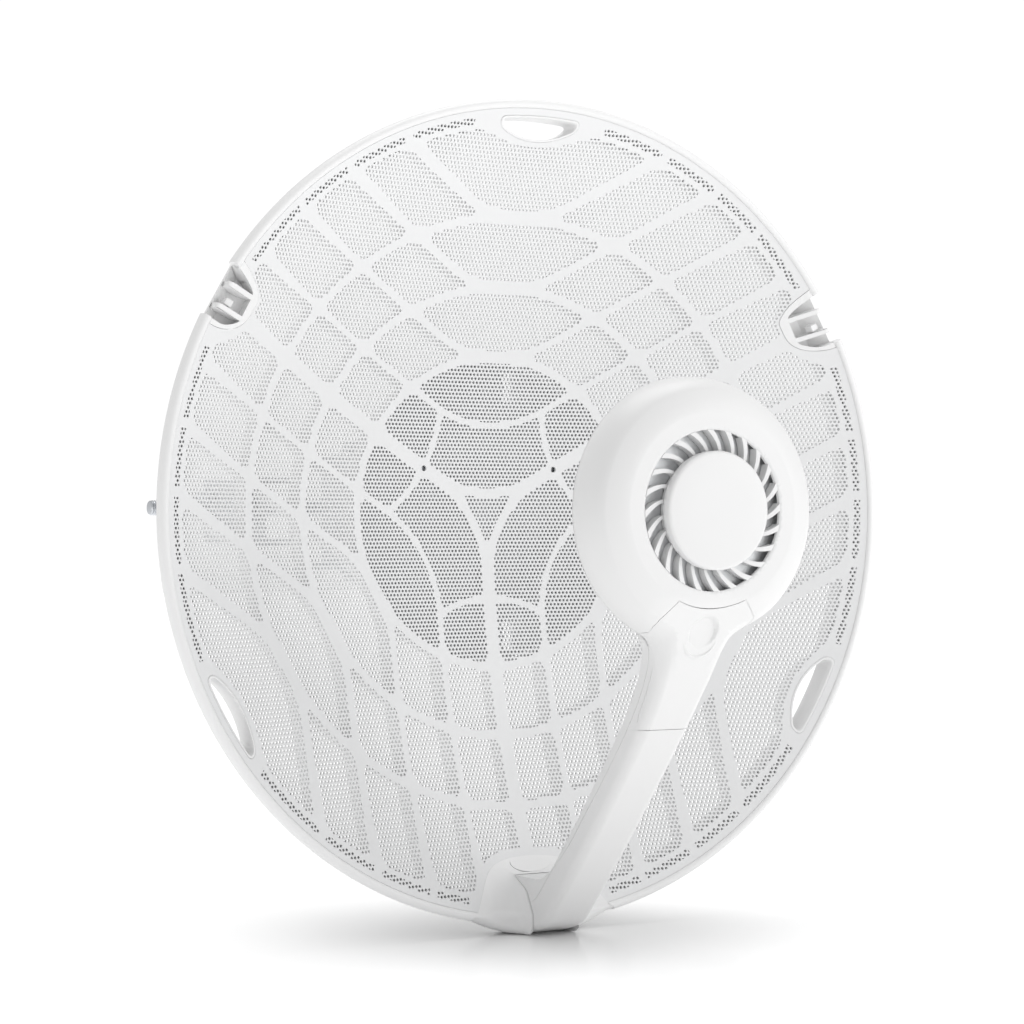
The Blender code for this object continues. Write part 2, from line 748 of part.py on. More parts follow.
def make_pod_contents():
    make_louvre_ring()
    cap = [(0.0, CAP_Y), (RING_IN_R - 0.0014, CAP_Y), (RING_IN_R - 0.0004, CAP_Y + 0.0010),
           (RING_IN_R - 0.0004, CAP_Y + 0.0060), (0.0, CAP_Y + 0.0060)]
    turned("centre_cap", cap, white_plastic(), (0, 0, 0), (0, 1, 0), 48)
    make_heatsink()
    rod("radio_board", (0, -0.1266, 0), (0, 1, 0), 0.0520, 0.0016, circuit_green(), 32)
    box("radio_module", (-0.018, -0.1293, -0.018), (0.018, -0.1269, 0.018), zinc_steel())
    horn = [(0.0, -0.1247), (0.0080, -0.1247), (0.0080, -0.1200), (0.0170, -0.1110),
            (0.0155, -0.1110), (0.0060, -0.1205), (0.0, -0.1205)]
    turned("feed_horn", horn, cast_aluminium(), (0, 0, 0), (0, 1, 0), 24)
    box("backup_antenna", (0.024, -0.1160, -0.014), (0.046, -0.1145, 0.014), circuit_green())
    gasket = [(0.0562, -0.1275), (0.0584, -0.1275), (0.0584, -0.1245), (0.0562, -0.1245)]
    turned("pod_gasket", gasket, sealing_rubber(), (0, 0, 0), (0, 1, 0), 48)


def make_heatsink():
    """Round base with straight fins that stand towards the vanes."""
    base = rod("heatsink", (0, -0.1345, 0), (0, 1, 0), 0.0490, 0.0048, cast_aluminium(), 32)
    root = -0.1338
    tip = -0.1448
    points = []
    for i in range(9):
        x = -0.0400 + 0.0100 * i
        points += [(x - 0.0009, root), (x - 0.0009, tip), (x + 0.0009, tip), (x + 0.0009, root)]
    outline = [(x, y, -0.026) for x, y in [(-0.0420, root)] + points + [(0.0420, root)]]
    outline += [(0.0420, -0.1322, -0.026), (-0.0420, -0.1322, -0.026)]
    join(base, prism("fins_tool", outline, (0, 0, 0.052), cast_aluminium()))


def make_port_bay():
    """Jack, board, cable seal and reset button that sit behind the port cover."""
    arm_block("port_board", (0.1350, 0.1600), (0.0114, 0.0127), 0.0090, circuit_green())
    jack = arm_block("ethernet_jack", (0.1410, 0.1580), (0.0026, 0.0111), 0.0080, zinc_steel())
    cut(jack, arm_block("jack_tool", (0.1380, 0.1540), (0.0040, 0.0098), 0.0059, zinc_steel()))
    run = arm_point(1.0, 0.0) - arm_point(0.0, 0.0)
    inward = arm_point(0.0, 1.0) - arm_point(0.0, 0.0)
    rod("reset_button", (0.0, *arm_point(0.1372, 0.0100)), (0.0, *(-inward)), 0.0015, 0.0040,
        dark_plastic(), 12)
    seal = [(0.0041, 0.0), (0.0041, 0.0050), (0.0026, 0.0050), (0.0026, 0.0)]
    turned("cable_seal", seal, sealing_rubber(), (0.0, *arm_point(0.1290, 0.0083)), (0.0, *run), 16)


def tab_outline(grow):
    """Outline of the release tab above the arm's foot: straight above, curved like a smile below."""
    half = 0.0115 + grow
    points = [Vector((-half, TAB_TOP_Z + grow)), Vector((half, TAB_TOP_Z + grow))]
    for i in range(9):
        a = math.radians(-22.5 * i)
        points.append(Vector((half * math.cos(a), TAB_TOP_Z - 0.0008 + (0.0048 + grow) * math.sin(a))))
    return points


def make_release_tab():
    """Spring tab in the boss that frees the arm's tongue."""
    outline = [(p.x, 0.0, p.y) for p in tab_outline(0.0)]
    tab = prism("release_tab", outline, (0, 0.0060, 0), white_plastic())
    tab.location.y = 0.0120
    return tab


# ---------------------------------------------------------------- mount

def make_hub_plate():
    """Steel disc on the back of the hub, with two cable-tie slots and holes for its fixings."""
    radius = HUB_R - 0.0022
    plate = rod("hub_plate", (0, HUB_PLATE_Y, 0), (0, 1, 0), radius, HUB_PLATE_T, zinc_steel(), 48)
    for z in (-0.064, 0.064):
        cut(plate, box("tie_tool", (0.0110, 0.05, z - 0.0075), (0.0170, 0.08, z + 0.0075), zinc_steel()))
    for axis in (30, 150, 270):
        spot = polar(CROSS_R, axis)
        cut(plate, rod("screw_tool", (spot.x, 0.05, spot.y), (0, 1, 0), 0.0019, 0.03, zinc_steel(), 12))
        screw = [(0.0, HUB_PLATE_Y - 0.0030), (0.0016, HUB_PLATE_Y - 0.0030),
                 (0.0016, HUB_PLATE_Y + HUB_PLATE_T + GAP), (0.0032, HUB_PLATE_Y + HUB_PLATE_T + GAP),
                 (0.0032, HUB_PLATE_Y + 0.0056), (0.0, HUB_PLATE_Y + 0.0056)]
        turned(f"hub_screw_{axis // 120 + 1}", screw, zinc_steel(), (spot.x, 0, spot.y), (0, 1, 0), 12)


def ear(x, root_y):
    """Flat ear across X, 4 mm thick, with a round end about the elevation axis."""
    outline = [(x, root_y, 0.0150), (x, root_y, -0.0150)]
    for i in range(13):
        a = math.radians(-90 + 15 * i)
        side = 1 if root_y < TILT_Y else -1
        outline.append((x, TILT_Y + side * 0.0150 * math.cos(a), 0.0150 * math.sin(a)))
    return prism("ear_tool", outline, (0.0040, 0, 0), cast_aluminium())


def make_tilt_bracket():
    """Cast bracket on the hub plate with two ears for the elevation pin."""
    y0 = HUB_PLATE_Y + HUB_PLATE_T + GAP
    bracket = box("tilt_bracket", (-0.0300, y0, -0.0240), (0.0300, y0 + 0.0042, 0.0240), cast_aluminium())
    for x in (-0.0140, 0.0100):
        join(bracket, ear(x, y0 + 0.001))
    cut(bracket, rod("pin_hole_tool", (-0.03, TILT_Y, 0), (1, 0, 0), PIN_R + 0.0003, 0.06,
                     cast_aluminium(), 16))
    for i, (x, z) in enumerate([(-0.0235, -0.0175), (0.0235, -0.0175), (-0.0235, 0.0175), (0.0235, 0.0175)]):
        top = y0 + 0.0042 + GAP
        head = [(0.0, top), (0.0040, top), (0.0040, top + 0.0026), (0.0, top + 0.0026)]
        turned(f"bracket_screw_{i + 1}", head, zinc_steel(), (x, 0, z), (0, 1, 0), 12)


def make_swivel_yoke():
    """Yoke between the elevation pin and the azimuth pin."""
    yoke = box("swivel_yoke", (-0.0340, 0.1280, -0.0220), (0.0195, 0.1480, 0.0220), cast_aluminium())
    for x in (-0.0185, 0.0145):
        join(yoke, ear(x, 0.1290))
    join(yoke, rod("lug_tool", (SWIVEL_X, SWIVEL_Y, -0.0250), (0, 0, 1), 0.0067, 0.0500,
                   cast_aluminium(), 24))
    cut(yoke, rod("tilt_hole_tool", (-0.03, TILT_Y, 0), (1, 0, 0), PIN_R + 0.0003, 0.06,
                  cast_aluminium(), 16))
    cut(yoke, rod("swivel_hole_tool", (SWIVEL_X, SWIVEL_Y, -0.04), (0, 0, 1), PIN_R + 0.0003, 0.08,
                  cast_aluminium(), 16))


def hex_bolt(name, start, axis, length, mat, head=0.0055, radius=PIN_R):
    """Hexagon head at start, shank along axis."""
    bolt = turned(name, [(0.0, -head), (0.0075, -head), (0.0075, 0.0), (0.0, 0.0)], mat, start, axis, 6)
    join(bolt, rod(name + "_shank_tool", Vector(start) - Vector(axis) * 0.001, axis, radius,
                   length + 0.001, mat, 16))
    return bolt


def washer(name, start, axis, mat):
    inner = PIN_R + 0.0003
    profile = [(0.0085, 0.0), (0.0085, 0.0014), (inner, 0.0014), (inner, 0.0)]
    return turned(name, profile, mat, start, axis, 16)


def nut(name, start, axis, mat):
    body = rod(name, start, axis, 0.0075, 0.0062, mat, 6)
    cut(body, rod(name + "_hole_tool", Vector(start) - Vector(axis) * 0.002, axis, PIN_R + 0.0003,
                  0.0100, mat, 16))
    return body


def make_pins():
    steel = zinc_steel()
    hex_bolt("tilt_bolt", (-0.0200, TILT_Y, 0), (1, 0, 0), 0.0470, steel)
    washer("tilt_washer", (0.0188, TILT_Y, 0), (1, 0, 0), steel)
    nut("tilt_nut", (0.0205, TILT_Y, 0), (1, 0, 0), steel)
    hex_bolt("swivel_bolt", (SWIVEL_X, SWIVEL_Y, 0.0318), (0, 0, -1), 0.0700, steel)
    nut("swivel_nut", (SWIVEL_X, SWIVEL_Y, -0.0303), (0, 0, -1), steel)


def jaw_channel(name, low_x, web_x, high_x, height, notch_side, mat):
    """Channel jaw: a web across X, and two flanges with a toothed V that faces the pole."""
    half = height / 2
    jaw = box(name, (web_x, JAW_Y0, -half), (web_x + 0.0030, JAW_Y1, half), mat)
    mid = (JAW_Y0 + JAW_Y1) / 2
    for z in (-half, half - 0.0030):
        edge = high_x if notch_side > 0 else low_x
        outline = [(low_x, JAW_Y0), (high_x, JAW_Y0), (high_x, JAW_Y1), (low_x, JAW_Y1)]
        notch = [(edge, mid + 0.022)]
        for i in range(1, 8):
            reach = 0.0130 * (1 - abs(4 - i) / 4)
            tooth = 0.0012 if i % 2 else 0.0
            notch.append((edge - notch_side * (reach + tooth), mid + 0.022 * (4 - i) / 4))
        notch.append((edge, mid - 0.022))
        if notch_side > 0:
            outline[2:2] = list(reversed(notch))
        else:
            outline += notch
        flange = prism("flange_tool", [(x, y, z) for x, y in outline], (0, 0, 0.0030), mat)
        join(jaw, flange)
    for y in JAW_BOLT_Y:
        cut(jaw, rod("jaw_hole_tool", (web_x - 0.01, y, JAW_BOLT_Z), (1, 0, 0), PIN_R + 0.0003, 0.03,
                     mat, 16))
    return jaw


def make_clamp():
    """Two channel jaws drawn together along X by two long bolts."""
    steel = zinc_steel()
    inner = jaw_channel("inner_jaw", -0.0620, -0.0500, -0.0230, INNER_JAW_H, -1, steel)
    cut(inner, rod("swivel_pass_tool", (SWIVEL_X, SWIVEL_Y, -0.04), (0, 0, 1), PIN_R + 0.0003, 0.08,
                   steel, 16))
    jaw_channel("outer_jaw", -0.1180, -0.1180, -0.0980, OUTER_JAW_H, 1, steel)
    for side, y in zip(("front", "rear"), JAW_BOLT_Y):
        spot = (-0.0467, y, JAW_BOLT_Z)
        hex_bolt(f"clamp_bolt_{side}", spot, (-1, 0, 0), -BOLT_TIP_X - 0.0467, steel, 0.0042)
        washer(f"clamp_washer_{side}", (-0.1183, y, JAW_BOLT_Z), (-1, 0, 0), steel)
        nut(f"clamp_nut_{side}", (-0.1200, y, JAW_BOLT_Z), (-1, 0, 0), steel)


def pivot(name, at, *pieces):
    """Empty on a joint's axis that carries the pieces it moves."""
    empty = bpy.data.objects.new(name, None)
    empty.location = at
    empty.empty_display_size = 0.01
    bpy.context.collection.objects.link(empty)
    for piece in pieces:
        obj = bpy.data.objects[piece]
        obj.parent = empty
        obj.matrix_parent_inverse = Matrix.Translation(-Vector(at))
    return empty


def make_joints():
    """One empty for each moving group; the swivel carries the dish, and the dish the radio."""
    swivel = pivot("azimuth_axis", (SWIVEL_X, SWIVEL_Y, 0), "swivel_yoke", "tilt_bolt", "tilt_washer",
                   "tilt_nut")
    dish = ["reflector_panel", "rib_frame", "hub_plate", "tilt_bracket"]
    dish += [f"hub_screw_{i + 1}" for i in range(3)] + [f"bracket_screw_{i + 1}" for i in range(4)]
    tilt = pivot("elevation_axis", (0, TILT_Y, 0), *dish)
    radio = ["radio_front_shell", "radio_rear_shell", "louvre_ring", "centre_cap", "heatsink",
             "radio_board", "radio_module", "feed_horn", "backup_antenna", "pod_gasket", "port_board",
             "ethernet_jack", "cable_seal"]
    foot = pivot("radio_slide", (0, 0.0050, -0.1935), *radio)
    cover = pivot("cover_slide", (0, *arm_point(0.1400, 0.0)), "port_cover")
    reset = pivot("reset_slide", (0, *arm_point(0.1372, 0.0100)), "reset_button")
    tab = pivot("tab_slide", (0, 0.0120, -0.1770), "release_tab")
    jaw = pivot("jaw_slide", (-0.1180, (JAW_Y0 + JAW_Y1) / 2, JAW_BOLT_Z), "outer_jaw",
                "clamp_washer_front", "clamp_washer_rear")
    links = [(tilt, swivel), (foot, tilt), (tab, tilt), (cover, foot), (reset, foot)]
    for side, y in zip(("front", "rear"), JAW_BOLT_Y):
        links.append((pivot(f"nut_axis_{side}", (-0.1200, y, JAW_BOLT_Z), f"clamp_nut_{side}"), jaw))
    for child, parent in links:
        child.parent = parent
        child.matrix_parent_inverse = Matrix.Translation(-parent.matrix_basis.translation)


def main():
    clear_scene()
    make_panel()
    make_rib_frame()
    make_radio_shells()
    make_pod_contents()
    make_port_bay()
    make_release_tab()
    make_hub_plate()
    make_tilt_bracket()
    make_swivel_yoke()
    make_pins()
    make_clamp()
    make_joints()


main()
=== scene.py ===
"""Looks for the outdoor wireless bridge: perforated dish, feed pod on its arm, and pole clamp.

Every piece is laid out in metres from the dish axis where it crosses the plane of the rim groove. The dish
looks along -Y. Plans are (x, z) arrays, and a piece with a plan gets its shape from two heights in y.
"""

import functools
import json
import math

import bmesh
import bpy
import numpy as np
from mathutils import Matrix, Vector
from mathutils.geometry import delaunay_2d_cdt

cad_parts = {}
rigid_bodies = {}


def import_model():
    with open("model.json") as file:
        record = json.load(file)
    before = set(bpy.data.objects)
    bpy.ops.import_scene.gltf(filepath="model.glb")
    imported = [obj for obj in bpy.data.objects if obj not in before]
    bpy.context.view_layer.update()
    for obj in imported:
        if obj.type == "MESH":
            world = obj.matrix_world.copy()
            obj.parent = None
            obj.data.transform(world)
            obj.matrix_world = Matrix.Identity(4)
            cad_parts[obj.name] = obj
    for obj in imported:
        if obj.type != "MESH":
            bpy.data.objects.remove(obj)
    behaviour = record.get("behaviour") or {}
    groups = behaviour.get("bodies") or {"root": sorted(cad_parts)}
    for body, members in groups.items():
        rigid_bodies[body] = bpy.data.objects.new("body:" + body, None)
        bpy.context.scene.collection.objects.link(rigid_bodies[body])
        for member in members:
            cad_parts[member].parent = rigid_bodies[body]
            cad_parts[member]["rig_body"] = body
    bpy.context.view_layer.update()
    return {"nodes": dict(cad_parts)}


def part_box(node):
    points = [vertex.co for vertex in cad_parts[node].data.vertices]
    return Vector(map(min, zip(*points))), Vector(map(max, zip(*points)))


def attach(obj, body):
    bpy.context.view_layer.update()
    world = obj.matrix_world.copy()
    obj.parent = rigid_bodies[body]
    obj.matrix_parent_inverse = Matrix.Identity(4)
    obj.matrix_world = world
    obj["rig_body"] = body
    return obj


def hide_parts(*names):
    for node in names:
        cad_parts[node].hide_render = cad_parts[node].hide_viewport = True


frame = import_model()

HUB_PLATE_Y = 0.0605
HUB_LOW, HUB_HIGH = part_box("hub_plate")
RIM_CENTRE = Vector(((HUB_LOW.x + HUB_HIGH.x) / 2, HUB_LOW.y - HUB_PLATE_Y, (HUB_LOW.z + HUB_HIGH.z) / 2))

# Dish
PANEL_R = 0.200
EDGE_R = 0.1999
DISH_DEPTH = 0.0577
PANEL_T = 0.0015
SECTORS = (90.0, 210.0, 330.0)
SOCKET_AXES = (30.0, 150.0)
LINE_PITCH = 0.030
BEND_R = 0.063
STRIP_HALF = (0.0022, 0.0014, 0.0017, 0.0020, 0.0022)
RIM_STRIP_HALF = 0.0030
RINGS = (0.0790, 0.1136, 0.1483)
RING_HALF = 0.0019
CORNER = 0.005
CELL_R = 0.1914
ARCH_CENTRE = 0.1074
ARCH_HALF = 0.0014
RIB_HALF = 0.0012
RIB_GAP = 0.0010
DASH_R = 0.1952
DASH_HALF = 0.0016
SCREW_CIRCLE_R = 0.0440

# Perforation
HOLE_R = 0.00073
HOLE_SIDES = 8
HOLE_PITCH = 0.00208
ROW_PITCH = 0.0020
BAND_EDGES = (-0.211, -0.117, -0.069, -0.023, 0.023, 0.069, 0.117, 0.211)

# Finger slots, edge sockets and boss
SLOT_OUT_R = 0.1955
SLOT_IN_R = 0.1855
SLOT_HALF_W = 0.0215
SLOT_BULGE_R = 0.042
SOCKET_HALF_W = 0.0175
SOCKET_IN_R = 0.1824
PLATE_HALF = 0.0012

# Rim
RIM_WALL_R = 0.1906
RIM_R = 0.2046

# Radio
POD_R = 0.0610
RING_R = 0.0438
CREASE_R = 0.0543
VENT_R = 0.0364
VENT_EDGE_R = 0.0368
CAP_R = 0.0268
RING_Y = -0.1510
CAP_Y = -0.1557
CREASE_Y = -0.1475
POD_EDGE_Y = -0.1310
POD_SEAM_Y = -0.1297
POD_REAR_Y = -0.1080
ARM_HALF_W = 0.0130
ARM_EDGE = 0.0046
ARM_TOP_Z = -0.0767
ARM_COS = 0.7513
ARM_SIN = 0.6600
ARM_FOOT = (-0.0215, -0.2020)
FOOT_LOW_Z = -0.2084
EDGE_LEVELS = (0.0, 0.0001, 0.0003, 0.0006, 0.0010, 0.0015, 0.0022, 0.0030, 0.0038, ARM_EDGE)
NECK = 0.0128
FOOT_TURN_Z = -0.1985
FOOT_REAR_Z = -0.1802
FOOT_SEAM_Z = -0.1942
FOOT_BACK_Y = 0.0060
POCKET_GAP = 0.00003
TAB_GAP = 0.00035
WALL = 0.0022
SEAM = 0.00024
VANES = 24
VANE_PHASE = 6.3
COVER_ARC_R = 0.0441
COVER_LOW_Z = -0.1010
COVER_SIDE = 0.0065

# Mount
X_AXIS = Vector((1.0, 0.0, 0.0))
Y_AXIS = Vector((0.0, 1.0, 0.0))
Z_AXIS = Vector((0.0, 0.0, 1.0))
CROSS_AXES = (30.0, 150.0, 270.0)
HUB_PLATE_R = 0.0768
HUB_PLATE_T = 0.0030
TILT_Y = 0.0900
SWIVEL_XY = (-0.0350, 0.1380)
JAW_BOLT_Y = (0.0860, 0.1420)
JAW_BOLT_Z = 0.0020
CLAMP_HEAD_X = -0.0467
BOLT_TIP_X = -0.1520
NUT_H = 0.0062
M8 = 0.0040
HEX_CORNER = 0.0075
HEX_FACE_R = 0.0061
HEX_STEPS = 60
THREAD_PITCH = 0.00125
THREAD_DEPTH = 0.0007

# Stage
BOSS_DROP = 0.2086
FILL_LEVEL = 0.63
# Floor glow: FLOOR_GLOW is reached past the painted contact shadow round the foot, FAR_GLOW is added further
# out.
FLOOR_GLOW = 0.32
FAR_GLOW = 0.32
BACKDROP_LEVEL = 1.05


# ---------------------------------------------------------------- plans

def turn(p, degrees):
    a = math.radians(degrees)
    c, s = math.cos(a), math.sin(a)
    return np.stack([p[..., 0] * c - p[..., 1] * s, p[..., 0] * s + p[..., 1] * c], axis=-1)


def smooth_min(a, b, k):
    h = np.clip(0.5 + 0.5 * (b - a) / k, 0.0, 1.0)
    return b * (1.0 - h) + a * h - k * h * (1.0 - h)


def smooth_max(a, b, k):
    return -smooth_min(-a, -b, k)


def ease(value, low, high):
    """0 below low, 1 above high, smooth between."""
    t = np.clip((value - low) / (high - low), 0.0, 1.0)
    return t * t * (3.0 - 2.0 * t)


def smoothed(knots, rounds=3):
    """Cut the corners of an open line again and again, ends kept."""
    for _ in range(rounds):
        first = knots[:-1] * 0.75 + knots[1:] * 0.25
        second = knots[:-1] * 0.25 + knots[1:] * 0.75
        knots = np.concatenate([knots[:1], np.stack([first, second], axis=1).reshape(-1, 2), knots[-1:]])
    return knots


def ring_loop(radius, count, centre=(0.0, 0.0)):
    a = np.arange(count) * 2.0 * math.pi / count
    return np.stack([centre[0] + radius * np.cos(a), centre[1] + radius * np.sin(a)], axis=-1)


def polar(radius, degrees):
    a = math.radians(degrees)
    return np.array([radius * math.cos(a), radius * math.sin(a)])


def inside(p, loop):
    """Even-odd test of points against a closed loop."""
    hit = np.zeros(len(p), bool)
    for a, b in zip(loop, np.roll(loop, -1, axis=0)):
        if a[1] == b[1]:
            continue
        cross = (a[1] > p[:, 1]) != (b[1] > p[:, 1])
        x = a[0] + (p[:, 1] - a[1]) / (b[1] - a[1]) * (b[0] - a[0])
        hit ^= cross & (p[:, 0] < x)
    return hit


def line_distance(p, points, closed=True):
    """Distance from points p to a polyline."""
    ends = np.roll(points, -1, axis=0)
    pairs = list(zip(points, ends))[:None if closed else -1]
    best = np.full(len(p), 1e9)
    for a, b in pairs:
        run = b - a
        t = np.clip(((p - a) @ run) / max(run @ run, 1e-18), 0.0, 1.0)
        best = np.minimum(best, np.linalg.norm(p - a - t[:, None] * run, axis=-1))
    return best


def loop_depth(p, loop):
    """Distance to a closed loop, positive inside."""
    return np.where(inside(p, loop), 1.0, -1.0) * line_distance(p, loop)


def closed_paths(*loops):
    """Loops as paths for triangulate()."""
    return [(loop, True) for loop in loops]


def loop_dots(loop, pitch, margin):
    """Staggered points inside a loop, at least margin from it."""
    return grid_points(lambda p: loop_depth(p, loop), pitch, margin, loop.min(axis=0), loop.max(axis=0))


def shrunk(loop, amount):
    """Convex-ish outline moved inwards by amount, corner by corner."""
    before = np.roll(loop, 1, axis=0)
    after = np.roll(loop, -1, axis=0)
    first = unit(loop - before)
    second = unit(after - loop)
    normal = unit(np.stack([-(first + second)[:, 1], (first + second)[:, 0]], axis=-1))
    sign = 1.0 if (loop[:, 0] * after[:, 1] - loop[:, 1] * after[:, 0]).sum() > 0.0 else -1.0
    return loop + normal * amount * sign


def slope(depth, p, step=1e-5):
    gx = depth(p + [step, 0.0]) - depth(p - [step, 0.0])
    gz = depth(p + [0.0, step]) - depth(p - [0.0, step])
    return np.stack([gx, gz], axis=-1) / (2.0 * step)


def unit(g):
    return g / np.maximum(np.linalg.norm(g, axis=-1, keepdims=True), 1e-9)


def to_level(depth, p, level, rounds=6):
    """Move points along the slope of depth until it equals level."""
    for _ in range(rounds):
        g = slope(depth, p)
        size = np.maximum((g * g).sum(axis=-1), 0.05)
        p = p + g * ((level - depth(p)) / size)[:, None]
    return p


def trace(depth, start, step, level=0.0):
    """Walk once round the line where depth equals level."""
    p = to_level(depth, np.array([start], float), level, 20)
    walked = [p[0].copy()]
    for _ in range(6000):
        g = unit(slope(depth, p))[0]
        p = to_level(depth, p + np.array([[-g[1], g[0]]]) * step, level, 3)
        if len(walked) > 4 and np.linalg.norm(p[0] - walked[0]) < step * 0.8:
            break
        walked.append(p[0].copy())
    return np.array(walked)


def grid_points(depth, pitch, margin, low, high):
    """Staggered grid over a box, where depth is over margin."""
    xs = np.arange(low[0], high[0], pitch)
    zs = np.arange(low[1], high[1], pitch * 0.87)
    x, z = np.meshgrid(xs, zs)
    x = x + (np.arange(len(zs)) % 2)[:, None] * pitch / 2
    p = np.stack([x.ravel(), z.ravel()], axis=-1)
    return p[depth(p) > margin]


def dish_y(p):
    return DISH_DEPTH * (1.0 - (p * p).sum(axis=-1) / PANEL_R ** 2)


# ---------------------------------------------------------------- meshes

def mesh_object(name, verts, faces, mat, sharp=50.0):
    mesh = bpy.data.meshes.new(name)
    mesh.from_pydata((np.asarray(verts, float) + np.array(RIM_CENTRE)).tolist(), [], faces)
    mesh.materials.append(mat)
    mesh.shade_smooth()
    mesh.set_sharp_from_angle(angle=math.radians(sharp))
    obj = bpy.data.objects.new(name, mesh)
    bpy.context.scene.collection.objects.link(obj)
    return obj


def triangulate(paths, extra, keep, hole_start=None, hole_sides=HOLE_SIDES):
    """Triangulate the plan that the paths divide, and keep triangles whose centres keep() accepts.

    Points from number hole_start on belong to holes of hole_sides corners each, which stay open.
    """
    points = []
    edges = []
    for path, closed in paths:
        first = len(points)
        points.extend(path.tolist())
        edges.extend((first + i, first + i + 1) for i in range(len(path) - 1))
        if closed:
            edges.append((first + len(path) - 1, first))
    points.extend(np.asarray(extra).reshape(-1, 2).tolist())
    found = delaunay_2d_cdt([Vector(p) for p in points], edges, [], 0, 1e-6)
    verts = np.array([tuple(v) for v in found[0]])
    faces = np.array([f for f in found[2] if len(f) == 3])
    a, b, c = (verts[faces[:, i]] for i in range(3))
    area = (b[:, 0] - a[:, 0]) * (c[:, 1] - a[:, 1]) - (b[:, 1] - a[:, 1]) * (c[:, 0] - a[:, 0])
    faces[area < 0] = faces[area < 0][:, ::-1]
    kept = (np.abs(area) > 1e-13) & keep((a + b + c) / 3.0)
    if hole_start is not None:
        source = np.array([o[0] if o else -1 for o in found[3]])
        owner = np.where(source >= hole_start, (source - hole_start) // hole_sides, -1)[faces]
        same = (owner[:, 0] >= 0) & (owner[:, 0] == owner[:, 1]) & (owner[:, 0] == owner[:, 2])
        kept &= ~same
    return verts, faces[kept]


def thicken(name, plan, mat, front, back, sharp=50.0):
    """Closed piece over a plan, between the heights front(p) and back(p), with exact front normals."""
    verts, faces = plan
    used, index = np.unique(faces, return_inverse=True)
    faces = index.reshape(-1, 3)
    p = verts[used]
    count = len(used)
    near = np.stack([p[:, 0], front(p), p[:, 1]], axis=-1)
    far = np.stack([p[:, 0], back(p), p[:, 1]], axis=-1)
    runs = np.concatenate([faces[:, [0, 1]], faces[:, [1, 2]], faces[:, [2, 0]]])
    forward = runs[:, 0] * count + runs[:, 1]
    reverse = runs[:, 1] * count + runs[:, 0]
    rim = runs[~np.isin(forward, reverse)]
    walls = np.stack([rim[:, 0], rim[:, 0] + count, rim[:, 1] + count, rim[:, 1]], axis=-1)
    every = faces.tolist() + (faces[:, ::-1] + count).tolist() + walls.tolist()
    obj = mesh_object(name, np.concatenate([near, far]), every, mat, sharp)
    g = slope(front, p)
    exact = np.stack([g[:, 0], -np.ones(count), g[:, 1]], axis=-1)
    exact /= np.linalg.norm(exact, axis=-1, keepdims=True)
    loops = np.zeros((len(obj.data.loops), 3))
    loops[:3 * len(faces)] = exact[faces.ravel()]
    obj.data.normals_split_custom_set(loops.tolist())
    return obj


def outward(obj):
    """Point every face out, after a build that may have turned them inwards."""
    bm = bmesh.new()
    bm.from_mesh(obj.data)
    bmesh.ops.recalc_face_normals(bm, faces=bm.faces)
    bm.to_mesh(obj.data)
    bm.free()
    return obj


def turned(name, profile, mat, steps=64, axis=(0.0, 1.0, 0.0), start=(0.0, 0.0, 0.0), sharp=35.0):
    """Turn a profile of (radius, distance) pairs about an axis through start.

    A radius or a distance may also be an array with one number per step.
    """
    aim = Vector(axis).to_track_quat("Z", "Y")
    side, up, ahead = (np.array(aim @ Vector(way)) for way in ((1, 0, 0), (0, 1, 0), (0, 0, 1)))
    a = np.arange(steps)[:, None] * 2.0 * math.pi / steps
    spoke = np.cos(a) * side + np.sin(a) * up
    verts = []
    rings = []
    for radius, along in profile:
        first = len(verts)
        if np.ndim(radius) == 0 and radius == 0.0:
            verts.append(start + ahead * along)
        else:
            reach = np.broadcast_to(radius, steps)[:, None]
            verts.extend(start + spoke * reach + ahead * np.broadcast_to(along, steps)[:, None])
        rings.append(range(first, len(verts)))
    pairs = list(zip(rings, rings[1:]))
    if len(rings[0]) > 1 or len(rings[-1]) > 1:
        pairs.append((rings[-1], rings[0]))
    faces = []
    for low, high in pairs:
        if len(low) == 1 and len(high) == 1:
            continue
        for i in range(steps):
            j = (i + 1) % steps
            corners = [low[i % len(low)], low[j % len(low)], high[j % len(high)], high[i % len(high)]]
            faces.append(list(dict.fromkeys(corners)))
    return outward(mesh_object(name, verts, faces, mat, sharp))


def box_outline(x, y, z, half_w, half_h):
    """Rectangle across Y about a point."""
    return [(x + a * half_w, y, z + b * half_h) for a, b in ((-1, -1), (1, -1), (1, 1), (-1, 1))]


def blocks(name, solids, mat, bevel=0.0004, sharp=35.0):
    """One piece of bevelled solids, each between two matching outlines of 3-D points."""
    verts = []
    faces = []
    for low, high in solids:
        first, count = len(verts), len(low)
        verts += [*low, *high]
        faces.append([first + i for i in range(count)][::-1])
        faces.append([first + count + i for i in range(count)])
        for i in range(count):
            j = (i + 1) % count
            faces.append([first + i, first + j, first + j + count, first + i + count])
    return bevelled(outward(mesh_object(name, verts, faces, mat, sharp)), bevel)


def bevelled(obj, width, segments=2, angle=30.0):
    mod = obj.modifiers.new("edges", "BEVEL")
    mod.width = width
    mod.segments = segments
    mod.limit_method = "ANGLE"
    mod.angle_limit = math.radians(angle)
    mod.harden_normals = True
    return applied(obj)


def applied(obj):
    """Bake an object's modifiers into its mesh."""
    bpy.context.view_layer.update()
    done = obj.evaluated_get(bpy.context.evaluated_depsgraph_get())
    mesh = bpy.data.meshes.new_from_object(done)
    obj.modifiers.clear()
    obj.data = mesh
    return obj


